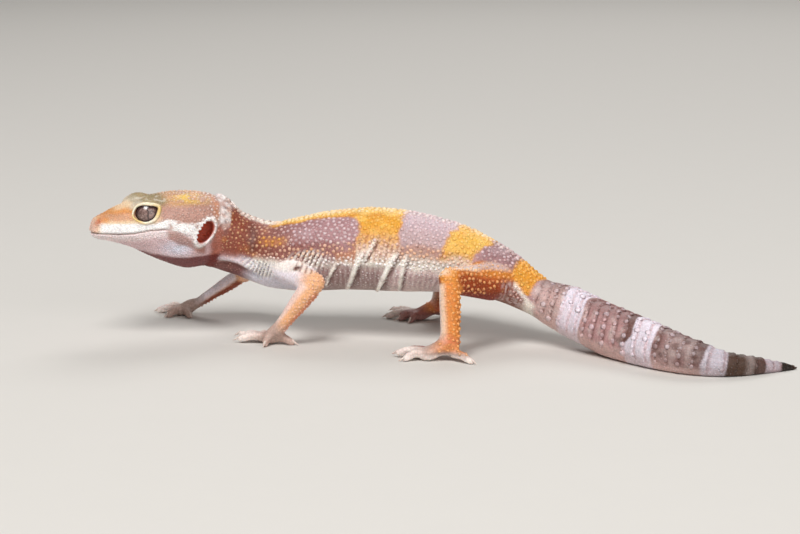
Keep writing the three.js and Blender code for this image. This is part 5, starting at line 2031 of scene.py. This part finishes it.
    # dark inner edge of the lids, partly painted shade; also the painted shade on the eyeball next to the
    # lids
    lid_line: hue_setting("Lid line", "Dark inner edge of the lids", "#35191a")
    lid_upper: hue_setting("Upper lid", "Rim of the upper lid", "#e6d3a4")
    lid_lower: hue_setting("Lower lid", "Rim of the lower lid", "#f4ead4")
    lid_corner: hue_setting("Corner of the lids", "Yellow ends of the lids", "#e7bd4d")
    lid_outer: hue_setting("Outside of the lids", "Outer edge of the rim", "#b59a72")
    claw: hue_setting("Claw", "Horn of the claws", "#e9dcd3")
    claw_dark: hue_setting("Dark claw", "Streaks in the claws", "#b79f93")


class GeckoStageSettings(bpy.types.PropertyGroup):
    """Camera, floor and lights."""

    lens: FloatProperty(name="Lens", description="Focal length in millimetres", default=100, min=10)
    distance: size_setting("Distance", "From the camera to its target", 0.411)
    height: size_setting("Target height", "Height of the target over the floor", 0.014)
    ahead: size_setting("Target ahead", "How far the target lies ahead of the middle", 0.0061)
    elevation: FloatProperty(
        name="Elevation",
        description="Angle that the camera looks down",
        default=math.radians(10),
        subtype="ANGLE",
    )
    floor_size: size_setting("Floor", "Width of the floor", 9.0)
    floor_colour: hue_setting("Floor colour", "Colour of the floor", "#d2cec8")
    key_power: power_setting("Key", 16.3)
    fill_power: power_setting("Fill", 6.2)
    back_power: power_setting("Back", 7.0)
    sky: FloatProperty(name="Sky", description="Strength of the even light", default=0.2, min=0)


# ---------------------------------------------------------------- operators


def skin_places(skin):
    """The skin's coordinates, with its node shares read back from the mesh."""
    place = Places(skin.data, {name: get_attribute(skin.data, f"share_{name}") for name in FLESH_NODES})
    place.ear = get_attribute(skin.data, "ear_size")
    return place


class GECKO_OT_skin(bpy.types.Operator):
    """Joins the flesh solids into one skin, shapes it and paints its markings"""

    bl_idname = "gecko.make_skin"
    bl_label = "Skin"

    def execute(self, context):
        scene = context.scene
        skin, place = make_skin(scene.gecko_skin)
        mesh = skin.data
        for name, share in place.shares.items():
            put_attribute(mesh, f"share_{name}", "FLOAT", "value", share)
        put_attribute(mesh, "ear_size", "FLOAT", "value", place.ear)
        put_colour(mesh, "skin_colour", skin_colours(place, Hues(scene.gecko_hues)))
        mesh.materials.clear()
        mesh.materials.append(living_skin(scene.gecko_skin))
        mesh.shade_smooth()
        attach(skin, BODY)
        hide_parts(*FLESH_NODES)
        return {"FINISHED"}


class GECKO_OT_scales(bpy.types.Operator):
    """Grows raised scales, rows on the tail and fine grains over the skin"""

    bl_idname = "gecko.make_scales"
    bl_label = "Scales"

    def execute(self, context):
        scene = context.scene
        settings = scene.gecko_scales
        skin = bpy.data.objects["skin"]
        place = skin_places(skin)
        painted = get_attribute(skin.data, "skin_colour")[:, :3]
        values = {
            "skin": painted,
            "tips": scale_tips(place, painted, Hues(scene.gecko_hues)),
            "flow": flow_lines(place),
            "root_map": bake_places(place),
        }
        material = scale_keratin()
        draw = np.random.default_rng(settings.seed)
        for order, (name, gap, width, slot, sizes) in enumerate(scale_layers(place, settings)):
            fine = name.startswith("grain")
            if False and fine:
                continue
            corners, weights = scatter(skin.data, gap, settings.seed + order, 5 if fine else 12)
            roots = roots_from(place, values, corners, weights, width)
            strength = draw.random(len(roots["width"]))
            toned(roots, strength**2.5 if fine else 0.4 + 0.6 * strength)
            grow_scales(name, roots, sizes, material)
        corners, weights = whorl_roots(skin.data, place, settings)
        width = settings.ring_width / MM * (1 - 0.45 * smooth_step(place.along, 90, 116))
        roots = roots_from(place, values, corners, weights, width)
        strength = draw.random(len(roots["width"]))
        roots["width"] *= 0.7 + 0.4 * strength
        toned(roots, strength)
        sizes = {"Height": 0.3, "Sink": 0.1, "Roundness": 2.0}
        grow_scales("scales_tail", roots, sizes, material)
        return {"FINISHED"}


class GECKO_OT_eyes(bpy.types.Operator):
    """Makes the eyeballs and the rims of the lids"""

    bl_idname = "gecko.make_eyes"
    bl_label = "Eyes and lids"

    def execute(self, context):
        hue = Hues(context.scene.gecko_hues)
        wet, bare = wet_eye(hue), lid_skin()
        tree = surface_tree(bpy.data.objects["skin"].data)
        for side in SIDES:
            eyeball = new_object(f"eyeball_{side}", eyeball_mesh(side))
            eyeball.data.materials.append(wet)
            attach(eyeball, BODY)
            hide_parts(f"eye_{side}")
            lids = new_object(f"lids_{side}", lid_mesh(side, tree, hue))
            lids.data.materials.append(bare)
            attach(lids, BODY)
        return {"FINISHED"}


class GECKO_OT_claws(bpy.types.Operator):
    """Makes the claws of all four paws"""

    bl_idname = "gecko.make_claws"
    bl_label = "Claws"

    def execute(self, context):
        claws = new_object("claws", claw_mesh())
        claws.data.materials.append(claw_horn(Hues(context.scene.gecko_hues)))
        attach(claws, BODY)
        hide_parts(*CLAW_NODES)
        return {"FINISHED"}


def area_light(name, target, place, size, power):
    """A soft square light that faces the target."""
    light = bpy.data.lights.new(name, "AREA")
    light.size = size
    light.energy = power
    lamp = bpy.data.objects.new(name, light)
    bpy.context.scene.collection.objects.link(lamp)
    lamp.location = target + Vector(place)
    lamp.rotation_euler = (-Vector(place)).to_track_quat("-Z", "Y").to_euler()


def lay_floor(settings, middle, level):
    """The wide floor under the feet, facing up."""
    half = settings.floor_size / 2 / MM
    ground = np.array([[-half, -half, 0], [half, -half, 0], [half, half, 0], [-half, half, 0]])
    ground += np.array([middle.x, middle.y, level]) / MM
    board = mesh_from("floor", ground, [(0, 1, 2, 3)])
    if board.polygons[0].normal.z < 0:
        board.flip_normals()
    floor = new_object("floor", board)
    floor.data.materials.append(plain_floor(settings))


def set_camera(settings, target):
    """The camera, level with the animal's side and a little above it, aimed at the target."""
    lens = bpy.data.cameras.new("camera")
    lens.lens = settings.lens
    lens.clip_start, lens.clip_end = 0.01, 50
    camera = bpy.data.objects.new("camera", lens)
    bpy.context.scene.collection.objects.link(camera)
    aside = Vector((0, -math.cos(settings.elevation), math.sin(settings.elevation)))
    camera.location = target + aside * settings.distance
    camera.rotation_euler = (-aside).to_track_quat("-Z", "Y").to_euler()
    bpy.context.scene.camera = camera


def even_light(strength):
    """A world that lights everything alike in a warm white."""
    world = bpy.data.worlds.new("studio")
    bpy.context.scene.world = world
    world.use_nodes = True
    sky = world.node_tree.nodes["Background"]
    sky.inputs["Color"].default_value = (*linear("#f4f3f1"), 1)
    sky.inputs["Strength"].default_value = strength


class GECKO_OT_stage(bpy.types.Operator):
    """Lays the floor and sets the lights and the camera"""

    bl_idname = "gecko.make_stage"
    bl_label = "Stage"

    def execute(self, context):
        settings = context.scene.gecko_stage
        low, high = (Vector(corner) for corner in CAD_BOUNDS)
        middle = (low + high) / 2
        target = Vector((middle.x - settings.ahead, middle.y, low.z + settings.height))
        lay_floor(settings, middle, low.z)
        area_light("key", target, (-0.25, -0.75, 1.05), 0.6, settings.key_power)
        area_light("fill", target, (0.75, -1.2, 0.42), 1.0, settings.fill_power)
        area_light("back", target, (0.25, 1.05, 1.05), 0.75, settings.back_power)
        even_light(settings.sky)
        set_camera(settings, target)
        context.scene.view_settings.view_transform = "Standard"
        return {"FINISHED"}


class GECKO_PT_panel(bpy.types.Panel):
    """Lists the makers of the model's pieces"""

    bl_label = "Leopard gecko"
    bl_idname = "GECKO_PT_panel"
    bl_space_type = "VIEW_3D"
    bl_region_type = "UI"
    bl_category = "Gecko"

    def draw(self, context):
        for operator in MAKERS:
            self.layout.operator(operator.bl_idname)
        for group in ("gecko_skin", "gecko_scales", "gecko_hues", "gecko_stage"):
            settings = getattr(context.scene, group)
            for name in settings.__annotations__:
                self.layout.prop(settings, name)


MAKERS = (GECKO_OT_skin, GECKO_OT_scales, GECKO_OT_eyes, GECKO_OT_claws, GECKO_OT_stage)
GROUPS = {
    "gecko_skin": GeckoSkinSettings,
    "gecko_scales": GeckoScaleSettings,
    "gecko_hues": GeckoHueSettings,
    "gecko_stage": GeckoStageSettings,
}


def register():
    """Registers the settings, the operators and the panel."""
    for name, group in GROUPS.items():
        bpy.utils.register_class(group)
        setattr(bpy.types.Scene, name, PointerProperty(type=group))
    for maker in (*MAKERS, GECKO_PT_panel):
        bpy.utils.register_class(maker)


def unregister():
    """Takes them all away again."""
    for maker in reversed((*MAKERS, GECKO_PT_panel)):
        bpy.utils.unregister_class(maker)
    for name, group in GROUPS.items():
        delattr(bpy.types.Scene, name)
        bpy.utils.unregister_class(group)


def main():
    """Makes every piece in order."""
    register()
    bpy.ops.gecko.make_skin()
    bpy.ops.gecko.make_eyes()
    bpy.ops.gecko.make_claws()
    bpy.ops.gecko.make_scales()
    bpy.ops.gecko.make_stage()


if __name__ == "__main__":
    main()
